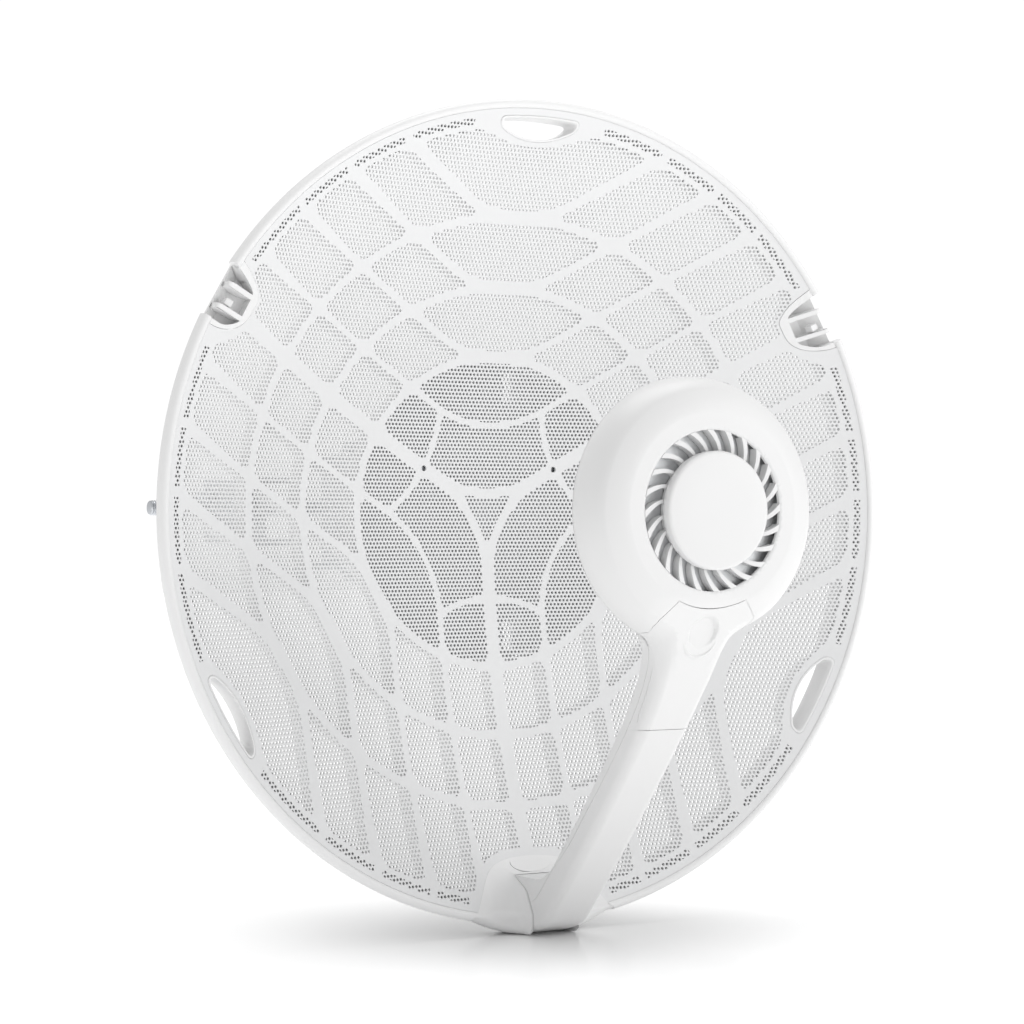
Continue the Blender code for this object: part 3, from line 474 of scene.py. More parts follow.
def softened(node, width, mat, segments=2):
    """Copy of a CAD node with its flats merged and its edges rounded, standing for the node."""
    source = frame["nodes"][node]
    bm = bmesh.new()
    bm.from_mesh(source.data)
    bmesh.ops.remove_doubles(bm, verts=bm.verts, dist=1e-6)
    bmesh.ops.dissolve_limit(bm, angle_limit=math.radians(1.0), verts=bm.verts, edges=bm.edges)
    mesh = bpy.data.meshes.new(node + "_rounded")
    bm.to_mesh(mesh)
    bm.free()
    mesh.materials.append(mat)
    obj = bpy.data.objects.new(node + "_rounded", mesh)
    bpy.context.scene.collection.objects.link(obj)
    mesh.shade_smooth()
    mesh.set_sharp_from_angle(angle=math.radians(35.0))
    bevelled(obj, width, segments)
    place(obj, body_of(node), node)
    return obj


def body_of(node):
    return frame["nodes"][node]["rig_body"]


def place(obj, body, *nodes):
    """Fix a finished piece to its body, and let it stand for CAD nodes."""
    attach(obj, body)
    if nodes:
        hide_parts(*nodes)
    return obj


# ---------------------------------------------------------------- materials

class Nodes:
    """Short way to wire one material."""

    def __init__(self, name, colour, roughness, metallic=0.0):
        self.mat = bpy.data.materials.new(name)
        self.mat.use_nodes = True
        self.tree = self.mat.node_tree
        self.shader = self.tree.nodes["Principled BSDF"]
        self.shader.inputs["Base Color"].default_value = (*colour, 1.0)
        self.shader.inputs["Roughness"].default_value = roughness
        self.shader.inputs["Metallic"].default_value = metallic
        self.place = self.add("ShaderNodeTexCoord").outputs["Object"]
        self.normal = None

    def add(self, kind, **values):
        node = self.tree.nodes.new(kind)
        for key, value in values.items():
            if hasattr(node, key):
                setattr(node, key, value)
            else:
                node.inputs[key].default_value = value
        return node

    def link(self, out, into):
        self.tree.links.new(out, into)

    def noise(self, scale, detail=3.0, stretch=(1.0, 1.0, 1.0)):
        mapping = self.add("ShaderNodeMapping")
        mapping.inputs["Scale"].default_value = stretch
        self.link(self.place, mapping.inputs["Vector"])
        noise = self.add("ShaderNodeTexNoise", Scale=scale, Detail=detail, Roughness=0.55)
        self.link(mapping.outputs["Vector"], noise.inputs["Vector"])
        return noise.outputs["Fac"]

    def span(self, value, low, high):
        """Stretch a 0 to 1 value over low to high."""
        node = self.add("ShaderNodeMapRange")
        node.inputs["To Min"].default_value = low
        node.inputs["To Max"].default_value = high
        self.link(value, node.inputs["Value"])
        return node.outputs["Result"]

    def roughen(self, value, low, high):
        self.link(self.span(value, low, high), self.shader.inputs["Roughness"])

    def tint(self, value, first, second):
        ramp = self.add("ShaderNodeValToRGB")
        ramp.color_ramp.elements[0].color = (*first, 1.0)
        ramp.color_ramp.elements[1].color = (*second, 1.0)
        ramp.color_ramp.elements[0].position = 0.3
        ramp.color_ramp.elements[1].position = 0.7
        self.link(value, ramp.inputs["Fac"])
        self.link(ramp.outputs["Color"], self.shader.inputs["Base Color"])

    def bump(self, height, distance, strength=1.0):
        node = self.add("ShaderNodeBump", Strength=strength, Distance=distance)
        self.link(height, node.inputs["Height"])
        if self.normal is not None:
            self.link(self.normal, node.inputs["Normal"])
        self.normal = node.outputs["Normal"]
        self.link(self.normal, self.shader.inputs["Normal"])


def grey(value):
    return (value, value, value)


def moulded(name, colour, roughness, grain=2600.0, depth=0.000012):
    """Satin moulded plastic: spark-eroded grain, faint flow marks and a little change in gloss."""
    made = Nodes(name, colour, roughness)
    made.tint(made.noise(9.0, 2.0), tuple(c * 0.985 for c in colour), colour)
    made.roughen(made.noise(55.0, 4.0), roughness - 0.05, roughness + 0.06)
    made.bump(made.noise(grain, 2.0), depth)
    made.shader.inputs["Specular IOR Level"].default_value = 0.42
    made.shader.inputs["Subsurface Weight"].default_value = 0.04
    made.shader.inputs["Subsurface Radius"].default_value = (0.002, 0.002, 0.002)
    return made.mat


def powder_coat(name, colour):
    """Fine orange peel of a powder coat on sheet metal."""
    made = Nodes(name, colour, 0.48)
    made.tint(made.noise(14.0, 3.0), tuple(c * 0.975 for c in colour), colour)
    made.roughen(made.noise(90.0, 3.0), 0.42, 0.55)
    made.bump(made.noise(1300.0, 2.0), 0.00002)
    return made.mat


def plated(name, colour, roughness=0.30, stretch=(1.0, 1.0, 1.0)):
    """Zinc plate: crystal blotches, fine draw lines and a soft blue cast in places."""
    made = Nodes(name, colour, roughness, 1.0)
    made.tint(made.noise(70.0, 5.0), tuple(c * f for c, f in zip(colour, (0.86, 0.88, 0.92))), colour)
    made.roughen(made.noise(420.0, 5.0, stretch), roughness - 0.07, roughness + 0.14)
    made.bump(made.noise(900.0, 4.0, stretch), 0.000014)
    return made.mat


def cast_metal(name, colour):
    """Die cast and bead blasted: dull, with a pebbled skin."""
    made = Nodes(name, colour, 0.5, 1.0)
    made.tint(made.noise(45.0, 4.0), tuple(c * 0.88 for c in colour), colour)
    made.roughen(made.noise(240.0, 4.0), 0.42, 0.62)
    made.bump(made.noise(1500.0, 3.0), 0.00003)
    return made.mat


def circuit(name, colour):
    """Solder mask over copper tracks, with rows of tinned pads."""
    made = Nodes(name, colour, 0.32)
    brick = made.add("ShaderNodeTexBrick", Scale=210.0)
    brick.inputs["Color1"].default_value = (*colour, 1.0)
    brick.inputs["Color2"].default_value = (*[c * 1.35 for c in colour], 1.0)
    brick.inputs["Mortar"].default_value = (*[c * 0.7 for c in colour], 1.0)
    brick.inputs["Mortar Size"].default_value = 0.03
    turnabout = made.add("ShaderNodeMapping")
    turnabout.inputs["Rotation"].default_value = (math.radians(90.0), 0.0, 0.0)
    made.link(made.place, turnabout.inputs["Vector"])
    made.link(turnabout.outputs["Vector"], brick.inputs["Vector"])
    pads = made.add("ShaderNodeTexVoronoi", Scale=330.0)
    made.link(turnabout.outputs["Vector"], pads.inputs["Vector"])
    dots = made.add("ShaderNodeMath", operation="LESS_THAN")
    dots.inputs[1].default_value = 0.16
    made.link(pads.outputs["Distance"], dots.inputs[0])
    mix = made.add("ShaderNodeMix", data_type="RGBA")
    mix.inputs["B"].default_value = (0.75, 0.74, 0.70, 1.0)
    made.link(dots.outputs["Value"], mix.inputs["Factor"])
    made.link(brick.outputs["Color"], mix.inputs["A"])
    made.link(mix.outputs["Result"], made.shader.inputs["Base Color"])
    made.link(dots.outputs["Value"], made.shader.inputs["Metallic"])
    made.bump(brick.outputs["Fac"], 0.00003)
    return made.mat


def rubber(name):
    made = Nodes(name, grey(0.035), 0.8)
    made.tint(made.noise(60.0, 4.0), grey(0.025), grey(0.05))
    made.roughen(made.noise(300.0, 4.0), 0.7, 0.9)
    made.bump(made.noise(1800.0, 3.0), 0.00003)
    return made.mat


def floor_finish():
    """Pale satin sheet, a little cloudy, that glows so that it reads as white as the backdrop; the glow fades
    out round the foot, which paints a darker contact shadow there.
    """
    made = Nodes("studio_floor", grey(0.92), 0.12)
    made.roughen(made.noise(3.0, 2.0), 0.12, 0.18)
    made.shader.inputs["Specular IOR Level"].default_value = 0.12
    made.shader.inputs["Emission Color"].default_value = (1.0, 1.0, 1.0, 1.0)
    level = made.add("ShaderNodeVectorMath", operation="MULTIPLY")
    level.inputs[1].default_value = (1.0, 1.0, 0.0)
    made.link(made.place, level.inputs[0])
    reach = made.add("ShaderNodeVectorMath", operation="LENGTH")
    made.link(level.outputs["Vector"], reach.inputs[0])
    near = made.add("ShaderNodeMapRange", interpolation_type="SMOOTHSTEP")
    far = made.add("ShaderNodeMapRange")
    total = made.add("ShaderNodeMath", operation="ADD")
    # Near ramp: no glow within 3 cm of the axis and full glow past 17 cm, a painted contact shadow round the
    # foot. Far ramp: more glow further out, so the floor reads white.
    for ramp, start, end, glow in ((near, 0.03, 0.17, FLOOR_GLOW), (far, 0.22, 0.88, FAR_GLOW)):
        ramp.inputs["From Min"].default_value = start
        ramp.inputs["From Max"].default_value = end
        ramp.inputs["To Max"].default_value = glow
        made.link(reach.outputs["Value"], ramp.inputs["Value"])
    made.link(near.outputs["Result"], total.inputs[0])
    made.link(far.outputs["Result"], total.inputs[1])
    made.link(total.outputs["Value"], made.shader.inputs["Emission Strength"])
    return made.mat


WHITE = moulded("white_plastic", grey(0.84), 0.42)
SHELL = moulded("shell_plastic", grey(0.79), 0.38, 3000.0, 0.000010)
VANE = moulded("vane_plastic", grey(0.80), 0.44)
SHEET = powder_coat("coated_sheet", (0.800, 0.803, 0.807))
ZINC = plated("zinc_plate", (0.66, 0.67, 0.68))
ZINC_SHEET = plated("zinc_sheet", (0.64, 0.65, 0.66), 0.34, (1.0, 1.0, 0.08))
CAST = cast_metal("cast_aluminium", (0.58, 0.59, 0.60))
# Lighter than the cast aluminium: painted light, so that the shaded gaps between the vanes read bright.
SINK_PAINTED_LIGHT = cast_metal("cast_sink_painted_light", (0.78, 0.79, 0.80))
TIN = plated("tin_plate", (0.72, 0.72, 0.71), 0.22, (0.1, 1.0, 1.0))
BOARD = circuit("solder_mask", (0.02, 0.14, 0.06))
RUBBER = rubber("seal_rubber")
DARK = moulded("dark_plastic", grey(0.03), 0.4)
GOLD = plated("contact_gold", (0.83, 0.62, 0.28), 0.2)


# ---------------------------------------------------------------- reflector

def line_side(p, offset, axis):
    """Signed distance to one pattern line of the sector about axis, positive outwards."""
    local = turn(p, 90.0 - axis)
    x = np.abs(local[..., 0])
    lift = (offset + BEND_R) / math.cos(math.radians(30.0))
    bend = BEND_R - np.hypot(x, local[..., 1] - lift)
    straight = local[..., 1] * math.cos(math.radians(30.0)) - x * 0.5 - offset
    return np.where((x < BEND_R / 2) & (local[..., 1] < lift), bend, straight)


def slot_depth(p, axis):
    """Distance inside the lens-shaped finger slot."""
    local = turn(p, 90.0 - axis)
    outer = SLOT_OUT_R - np.hypot(local[..., 0], local[..., 1])
    inner = SLOT_BULGE_R - np.hypot(local[..., 0], local[..., 1] - SLOT_IN_R - SLOT_BULGE_R)
    side = SLOT_HALF_W - np.abs(local[..., 0])
    return smooth_min(smooth_min(outer, inner, 0.0022), side, 0.0030)


def socket_depth(p, axis):
    """Distance inside the U-shaped edge socket, about."""
    local = turn(p, 90.0 - axis)
    x = np.abs(local[..., 0])
    deep = PANEL_R - SOCKET_IN_R
    low = np.hypot(x / SOCKET_HALF_W, np.minimum(local[..., 1] - PANEL_R, 0.0) / deep)
    reach = np.hypot(x, local[..., 1] - PANEL_R) / np.maximum(low, 0.02)
    rounded = (1.0 - low) * np.where(low > 0.02, reach, deep)
    return np.where(local[..., 1] > PANEL_R, SOCKET_HALF_W - x, np.where(local[..., 1] > 0.0, rounded, -0.1))


def boss_loop():
    """Bell-shaped outline of the boss, closed below the edge of the sheet."""
    knots = np.array([(0.0410, -0.1990), (0.0372, -0.1968), (0.0348, -0.1930), (0.0322, -0.1888),
                      (0.0297, -0.1846), (0.0271, -0.1804), (0.0228, -0.1762), (0.0156, -0.1734),
                      (0.0078, -0.1724), (0.0, -0.1722)])
    knots = smoothed(knots)
    right = knots[::-1] * [-1.0, 1.0]
    return np.concatenate([[[0.0425, -0.2080]], knots, right[1:], [[-0.0425, -0.2080]]])


BOSS = boss_loop()


def cell_depth(p):
    """Distance inside the perforated cells: between strips, rings and borders, with rounded corners."""
    r = np.linalg.norm(p, axis=-1)
    spread = ease(r, 0.150, 0.190)
    depth = CELL_R - r
    for axis in SECTORS:
        for k, half in enumerate(STRIP_HALF):
            strip = half + (RIM_STRIP_HALF - half) * spread
            depth = smooth_min(depth, np.abs(line_side(p, LINE_PITCH * k, axis)) - strip, CORNER)
        border = -line_side(p, LINE_PITCH * len(STRIP_HALF), axis) - 0.0010
        depth = smooth_min(depth, border, CORNER)
    for ring in RINGS:
        depth = smooth_min(depth, np.abs(r - ring) - RING_HALF, CORNER)
    for axis in (30.0, 150.0, 270.0):
        local = turn(p, 90.0 - axis) - [0.0, ARCH_CENTRE]
        arch = np.abs(np.hypot(local[..., 0], local[..., 1]) - BEND_R) - ARCH_HALF
        near = (np.abs(local[..., 0]) < 0.030) & (local[..., 1] < 0.0) & (r < RINGS[0])
        depth = np.where(near, smooth_min(depth, arch, CORNER * 0.6), depth)
    for axis in SOCKET_AXES:
        depth = smooth_min(depth, -socket_depth(p, axis) - 0.0032, CORNER)
        depth = np.minimum(depth, np.linalg.norm(p - polar(SCREW_CIRCLE_R, axis), axis=-1) - 0.0026)
    return depth


def dash_depth(p):
    """Distance inside the broken ring of holes that follows the rim."""
    r = np.linalg.norm(p, axis=-1)
    angle = np.degrees(np.arctan2(p[..., 1], p[..., 0]))
    depth = DASH_HALF - np.abs(r - DASH_R)
    for middle, reach in ((30.0, 6.9), (150.0, 6.9), (90.0, 11.0), (210.0, 9.0), (330.0, 9.0), (270.0, 12.0)):
        off = np.abs((angle - middle + 180.0) % 360.0 - 180.0)
        depth = np.minimum(depth, np.radians(off - reach) * r)
    for middle in (30.0, 150.0, 270.0):
        off = np.abs((angle - middle + 180.0) % 360.0 - 180.0)
        for gap in (18.0, 27.5, 37.9):
            depth = np.minimum(depth, np.radians(np.abs(off - gap) - 0.6) * r)
    return depth


def pattern_depth(p):
    depth = cell_depth(p)
    low = p[..., 1] < -0.165
    if low.any():
        depth = depth.copy()
        depth[low] = np.minimum(depth[low], -loop_depth(p[low], BOSS) - 0.0040)
    return np.maximum(depth, dash_depth(p))


def holes_between(z0, z1):
    """Holes of one band of the sheet: whole ones inside a cell, trimmed ones along its border."""
    rows = np.arange(math.ceil(z0 / ROW_PITCH), math.floor(z1 / ROW_PITCH) + 1)
    columns = np.arange(-98, 99)
    x, z = np.meshgrid(columns * HOLE_PITCH, rows * ROW_PITCH)
    x = x + (rows % 2)[:, None] * HOLE_PITCH / 2
    centres = np.stack([x.ravel(), z.ravel()], axis=-1)
    centres = centres[np.linalg.norm(centres, axis=-1) < EDGE_R - 0.0015]
    depth = pattern_depth(centres)
    centres = centres[depth > -0.35 * HOLE_R]
    depth = depth[depth > -0.35 * HOLE_R]
    shape = ring_loop(HOLE_R, HOLE_SIDES)
    holes = centres[:, None, :] + shape[None]
    part = depth < HOLE_R
    anchor = centres[part] + unit(slope(pattern_depth, centres[part])) \
        * np.maximum(0.3 * HOLE_R - depth[part], 0.0)[:, None]
    rays = holes[part] - anchor[:, None]
    near, far = np.zeros(rays.shape[:2]), np.ones(rays.shape[:2])
    far = np.where(pattern_depth(anchor[:, None] + rays) >= 0.0, 1.0, far)
    near = np.where(pattern_depth(anchor[:, None] + rays) >= 0.0, 1.0, near)
    for _ in range(8):
        middle = (near + far) / 2
        fits = pattern_depth(anchor[:, None] + rays * middle[..., None]) >= 0.0
        near = np.where(fits, middle, near)
        far = np.where(fits, far, middle)
    holes[part] = anchor[:, None] + rays * np.maximum(near, 0.05)[..., None]
    after = np.roll(holes, -1, axis=1)
    area = (holes[..., 0] * after[..., 1] - holes[..., 1] * after[..., 0]).sum(axis=1) / 2
    return holes[area > 0.9 * HOLE_R ** 2]


def make_sheet():
    """Perforated reflector in bands, so that no piece is too heavy."""
    slots = [trace(lambda p, a=a: slot_depth(p, a), polar(0.190, a), 0.0008, -0.0012) for a in SECTORS]
    sockets = [shrunk(socket_outline(axis), -0.0002) for axis in SOCKET_AXES]
    screws = [ring_loop(0.0015, 16, polar(SCREW_CIRCLE_R, a)) for a in SOCKET_AXES]
    edge = ring_loop(EDGE_R, 360)
    for number, (z0, z1) in enumerate(zip(BAND_EDGES, BAND_EDGES[1:])):
        holes = holes_between(z0, z1)
        cuts = [np.stack([np.arange(-0.205, 0.2051, 0.0025), np.full(165, z)], axis=-1) for z in (z0, z1)]
        paths = closed_paths(edge, BOSS) + [(c, False) for c in cuts]
        paths += closed_paths(*slots, *screws, *sockets)
        start = sum(len(path) for path, _ in paths)
        paths += closed_paths(*holes)

        def keep(c):
            ok = (c[:, 1] > z0) & (c[:, 1] < z1) & (np.linalg.norm(c, axis=-1) < EDGE_R)
            ok &= ~inside(c, BOSS)
            for loop in slots + screws + sockets:
                ok &= ~inside(c, loop)
            return ok

        plan = triangulate(paths, [], keep, start)
        piece = thicken(f"reflector_sheet_{number + 1}", plan, SHEET, dish_y, lambda p: dish_y(p) + PANEL_T)
        place(piece, "dish", "reflector_panel")


# ---------------------------------------------------------------- frame behind the sheet

def frame_front(p):
    return dish_y(p) + PANEL_T + RIB_GAP


def rib_floor(p):
    """Rear edge of the ribs, which get shallower towards the rim."""
    r = np.linalg.norm(p, axis=-1)
    return frame_front(p) + 0.0120 * np.clip((0.204 - r) / 0.012, 0.35, 1.0)


def rib_path(offset, shift, axis):
    """One rib line of the sector about axis: straight, a bend, straight, moved sideways by shift."""
    lift = (offset + BEND_R) / math.cos(math.radians(30.0))
    a = np.radians(np.linspace(240.0, 300.0, 17))
    bend = np.stack([np.cos(a), np.sin(a)], axis=-1) * (BEND_R - shift) + [0.0, lift]
    run = bend[-1] + polar(1.0, 30.0) * np.arange(0.008, 0.2, 0.008)[:, None]
    return turn(np.concatenate([run[::-1] * [-1.0, 1.0], bend, run]), axis - 90.0)


def make_ribs():
    outer = RIM_WALL_R + 0.0006
    slots = [trace(lambda p, a=a: slot_depth(p, a), polar(0.190, a), 0.0010, level)
             for a in SECTORS for level in (0.0, -0.0014)]
    paths = closed_paths(ring_loop(outer, 240), BOSS, *slots)
    paths += closed_paths(*[ring_loop(ring + s, 180) for ring in RINGS for s in (-RIB_HALF, RIB_HALF)])
    for axis in SECTORS:
        for k in range(len(STRIP_HALF)):
            paths += [(rib_path(LINE_PITCH * k, s, axis), False) for s in (-RIB_HALF, RIB_HALF)]
    sockets = [shrunk(socket_outline(axis), 0.0004) for axis in SOCKET_AXES]
    paths += closed_paths(*sockets)

    def keep(p):
        r = np.linalg.norm(p, axis=-1)
        ribs = np.zeros(len(p), bool)
        for ring in RINGS:
            ribs |= np.abs(r - ring) < RIB_HALF
        for axis in SECTORS:
            for k in range(len(STRIP_HALF)):
                ribs |= np.abs(line_side(p, LINE_PITCH * k, axis)) < RIB_HALF
        ribs &= (r < outer) & (r > RINGS[0] - RIB_HALF) & ~inside(p, BOSS)
        for socket in sockets:
            ribs &= ~inside(p, socket)
        for wall, hole in zip(slots[1::2], slots[0::2]):
            ribs = (ribs | (inside(p, wall))) & ~inside(p, hole)
        return ribs

    plan = triangulate(paths, [], keep)
    place(thicken("rib_grid", plan, WHITE, frame_front, rib_floor), "dish", "rib_frame")


def mirrored(points, axis):
    """Points of the left edge socket turned to its axis, or their mirror image for the right one."""
    side = -1.0 if axis < 90.0 else 1.0
    loop = turn(np.asarray(points) * [side, 1.0], axis - 90.0)
    return loop if side > 0.0 else loop[::-1]


def socket_outline(axis):
    """Outside of the socket's wall, from its upper mouth round to its lower mouth."""
    knots = np.array([(0.0205, 0.2012), (0.0200, 0.1987), (0.0183, 0.1913), (0.0163, 0.1859),
                      (0.0132, 0.1815), (0.0109, 0.1797), (0.0050, 0.1797), (-0.0007, 0.1800),
                      (-0.0062, 0.1831), (-0.0105, 0.1881), (-0.0138, 0.1954), (-0.0145, 0.2012)])
    return mirrored(smoothed(knots, 2), axis)


def socket_inside(axis):
    """Inside of the socket's wall."""
    knots = np.array([(0.0165, 0.2012), (0.0163, 0.2003), (0.0150, 0.1928), (0.0133, 0.1871),
                      (0.0114, 0.1840), (0.0060, 0.1840), (-0.0020, 0.1838), (-0.0036, 0.1839),
                      (-0.0072, 0.1873), (-0.0109, 0.1927), (-0.0118, 0.2012)])
    return mirrored(smoothed(knots, 2), axis)


def make_rim():
    """Rolled bead, sloping rear wall and inner wall, open behind the sheet, cut at slots and sockets."""
    front = float(frame_front(np.array([RIM_WALL_R, 0.0])))
    bead = [(0.20000, 0.0000), (0.20020, -0.0006), (0.20060, -0.0010), (0.20120, -0.0014), (0.20200, -0.0016),
            (0.20270, -0.0015), (0.20340, -0.0011), (0.20400, -0.0004), (0.20440, 0.0005), (0.20460, 0.0016),
            (0.20460, 0.0034), (0.20445, 0.0045), (0.20400, 0.0053), (0.20320, 0.0062)]
    rear = [(0.1940, 0.0156), (0.1932, 0.0162), (0.1923, 0.0165), (0.1914, 0.0163), (0.1908, 0.0158),
            (RIM_WALL_R, 0.0150)]
    inner = [(RIM_WALL_R, front), (RIM_WALL_R + 0.0016, front), (RIM_WALL_R + 0.0016, 0.0143),
             (0.1932, 0.0145), (0.2012, 0.0060), (0.2020, 0.0040), (0.1985, 0.0040), (0.1985, 0.0036),
             (0.20000, 0.0034)]
    rim = turned("rim", bead + rear + inner, WHITE, 360, sharp=40.0)
    for axis in SOCKET_AXES:
        beyond = mirrored([(-0.0122, 0.2200), (0.0172, 0.2200)], axis)
        cut_plan(rim, np.concatenate([socket_inside(axis), beyond]))
    for axis in SECTORS:
        cut_plan(rim, trace(lambda p: slot_depth(p, axis), polar(0.190, axis), 0.0012, -0.0007))
    sides = BOSS[BOSS[:, 1] > -0.1992] * [0.99, 1.0]
    cut_plan(rim, np.concatenate([sides, [(-0.0401, -0.2200), (0.0401, -0.2200)]]))
    rim.data.shade_smooth()
    rim.data.set_sharp_from_angle(angle=math.radians(38.0))
    place(rim, "dish", "rib_frame")


def cut_plan(obj, loop, low=-0.02, high=0.06):
    """Cut a prism along Y through a piece."""
    corners = [[(x, y, z) for x, z in loop] for y in (low, high)]
    count = len(loop)
    faces = [list(range(count)), list(range(count, 2 * count))[::-1]]
    faces += [[i, (i + 1) % count, (i + 1) % count + count, i + count] for i in range(count)]
    tool = outward(mesh_object("cutter", corners[0] + corners[1], faces, WHITE))
    mod = obj.modifiers.new("cut", "BOOLEAN")
    mod.operation = "DIFFERENCE"
    mod.solver = "EXACT"
    mod.object = tool
    applied(obj)
    bpy.data.objects.remove(tool, do_unlink=True)


def make_slot_collars():
    """Collar round each finger slot: a small rounded lip, flush walls down to the rim's floor."""
    levels = (0.0, -0.00015, -0.0004, -0.0008, -0.0011)
    for number, axis in enumerate(SECTORS):
        def depth(p, axis=axis):
            return slot_depth(p, axis)

        loops = [trace(depth, polar(0.190, axis), 0.0008, level) for level in levels]

        def keep(c, loops=loops):
            return inside(c, loops[-1]) & ~inside(c, loops[0])

        def lip(p, depth=depth):
            t = np.clip(-depth(p) / 0.0011, 0.0, 1.0)
            return dish_y(p) - 0.0003 * np.sqrt(np.clip(1.0 - (2.0 * t - 1.0) ** 2, 0.0, 1.0))

        plan = triangulate(closed_paths(*loops), [], keep)
        collar = thicken(f"slot_collar_{number + 1}", plan, WHITE, lip, lambda p: dish_y(p) * 0.2 + 0.0150)
        place(collar, "dish", "rib_frame")


def socket_floor(p):
    """Front of the sockets' floor, which carries on the rim's sloping rear wall."""
    return 0.0150 - 1.02 * np.maximum(np.linalg.norm(p, axis=-1) - 0.1936, 0.0)


def make_sockets():
    """Edge sockets: a curved wall, two plates that run outwards, and a small catch between them."""
    plate_lines = (((0.0100, 0.1836), (0.0073, 0.2000)), ((-0.0015, 0.1832), (-0.0046, 0.2004)))
    for number, axis in enumerate(SOCKET_AXES):
        outer = socket_outline(axis)
        inner = socket_inside(axis)
        plates = []
        for start, end in plate_lines:
            run = unit(np.subtract(end, start))
            across = np.array([-run[1], run[0]]) * PLATE_HALF
            plates.append(mirrored([start - across, end - across, end + across, start + across], axis))

        def keep(c):
            solid = inside(c, outer) & ~inside(c, inner)
            for plate in plates:
                solid |= inside(c, plate) & inside(c, outer)
            return solid

        def top(p):
            out = (turn(p, 90.0 - axis)[..., 1] - 0.1970) / 0.0036
            return dish_y(p) - 0.0003 + 0.0036 * (1.0 - np.sqrt(1.0 - np.clip(out, 0.0, 1.0) ** 2))

        dots = loop_dots(outer, 0.0008, 0.0)
        dots = dots[np.linalg.norm(dots, axis=-1) > 0.196]
        plan = triangulate(closed_paths(outer, inner, *plates), dots, keep)
        wall = thicken(f"edge_socket_{number + 1}", plan, WHITE, top, lambda p: socket_floor(p) + 0.0010)
        place(wall, "dish", "rib_frame")
        catch = mirrored([(-0.0014, 0.1925), (0.0022, 0.1925), (0.0018, 0.1965), (-0.0014, 0.1965)], axis)
        ends = [[(x, y, z) for x, z in catch] for y in (0.0040, 0.0100)]
        place(blocks(f"socket_catch_{number + 1}", [ends], WHITE, 0.0004), "dish", "rib_frame")
        plan = triangulate(closed_paths(inner), loop_dots(inner, 0.0012, 0.0002), lambda c: inside(c, inner))
        base = thicken(f"socket_floor_{number + 1}", plan, WHITE, socket_floor,
                       lambda p: socket_floor(p) + 0.0016)
        place(base, "dish", "rib_frame")


def foot_side(p):
    """How far outside the arm's foot a point is, in plan."""
    x = np.abs(p[..., 0]) - ARM_HALF_W
    z = p[..., 1] - FOOT_REAR_Z
    return np.where(z > 0.0, np.hypot(np.maximum(x, 0.0), z), x)


def boss_front(p):
    """Boss face: flush with the sheet at its edge, swept up the arm's sides, rounded over the bottom."""
    gap = np.maximum(foot_side(p) - 0.0001, 0.0)
    rise = 0.0135
    sweep = rise * (1.0 - np.sqrt(np.clip(1.0 - (1.0 - np.clip(gap / 0.0150, 0.0, 1.0)) ** 2.2, 0.0, 1.0)))
    low = ease(-p[..., 1], 0.176, 0.188)
    face = dish_y(p) - 0.0002 - sweep * low
    bead = ease(-p[..., 1], 0.1965, 0.2000)
    edge = boss_bottom(p[..., 0]) + p[..., 1]
    roll = np.clip(edge / 0.0042, 0.0, 1.0)
    rim_y = -0.0018 + 0.0060 * (1.0 - np.sqrt(np.clip(1.0 - (1.0 - roll) ** 2, 0.0, 1.0)))
    return face * (1.0 - bead) + (rim_y - sweep * low * 0.8) * bead


def boss_bottom(x):
    """How far below the dish axis the boss reaches, at x."""
    t = np.clip((np.abs(x) - 0.0150) / 0.0250, 0.0, 1.0)
    rim = np.sqrt(np.maximum(RIM_R ** 2 - x * x, 0.0))
    flat = 0.2083
    s = t * t * (3.0 - 2.0 * t)
    return flat * (1.0 - s) + rim * s


def make_boss():
    """Boss that carries the foot of the arm, with a pocket for the foot and a slit round the tab."""
    x = np.linspace(0.0405, -0.0405, 110)
    bottom = np.stack([x, -boss_bottom(x)], axis=-1)
    sides = BOSS[(BOSS[:, 1] > -0.1992)]
    outline = np.concatenate([sides, bottom[::-1]])
    half = ARM_HALF_W + POCKET_GAP
    top = FOOT_REAR_Z + POCKET_GAP
    pocket = dense(np.array([(-half, -0.2100), (-half, top), (half, top), (half, -0.2100)]), 0.0008)
    lines = [bottom + [0.0, inset] for inset in (0.0002, 0.0006, 0.0012, 0.0020, 0.0030, 0.0042)]
    for side in (-1.0, 1.0):
        for gap in (0.0004, 0.0010, 0.0018, 0.0028, 0.0042, 0.0060, 0.0085, 0.0115, 0.0150):
            lines.append(np.array([(side * (half + gap), -0.2085), (side * (half + gap), -0.1760)]))
    slit = tab_loop(TAB_GAP, 0.00003)
    paths = closed_paths(outline, pocket, slit) + [(dense(line, 0.0010), False) for line in lines]
    dots = grid_points(lambda p: loop_depth(p, outline), 0.0018, 0.0006, (-0.045, -0.210), (0.045, -0.170))

    def keep(c):
        return inside(c, outline) & ~inside(c, pocket) & ~inside(c, slit)

    boss = thicken("arm_boss", triangulate(paths, dots, keep), WHITE, boss_front,
                   lambda p: np.maximum(dish_y(p) + 0.0165, 0.0100))
    place(boss, "dish", "rib_frame")
    plan = triangulate(closed_paths(pocket, outline), [], lambda c: inside(c, outline) & inside(c, pocket))
    floor = thicken("foot_pocket", plan, WHITE, lambda p: np.full(len(p), FOOT_BACK_Y + 0.0060),
                    lambda p: np.full(len(p), FOOT_BACK_Y + 0.0085))
    place(floor, "dish", "rib_frame")
    make_tab("tab_screen", tab_loop(0.0028, 0.0028), 0.0078, 0.0100, "dish", "rib_frame")
    make_tab("press_tab", tab_loop(), -0.0002, 0.0058, "release_tab", "release_tab")


def make_tab(name, loop, near, far, body, node):
    """Plate that follows the sheet between two heights over it."""
    plan = triangulate(closed_paths(loop), [], lambda c: inside(c, loop))
    place(thicken(name, plan, WHITE, lambda p: dish_y(p) + near, lambda p: dish_y(p) + far), body, node)


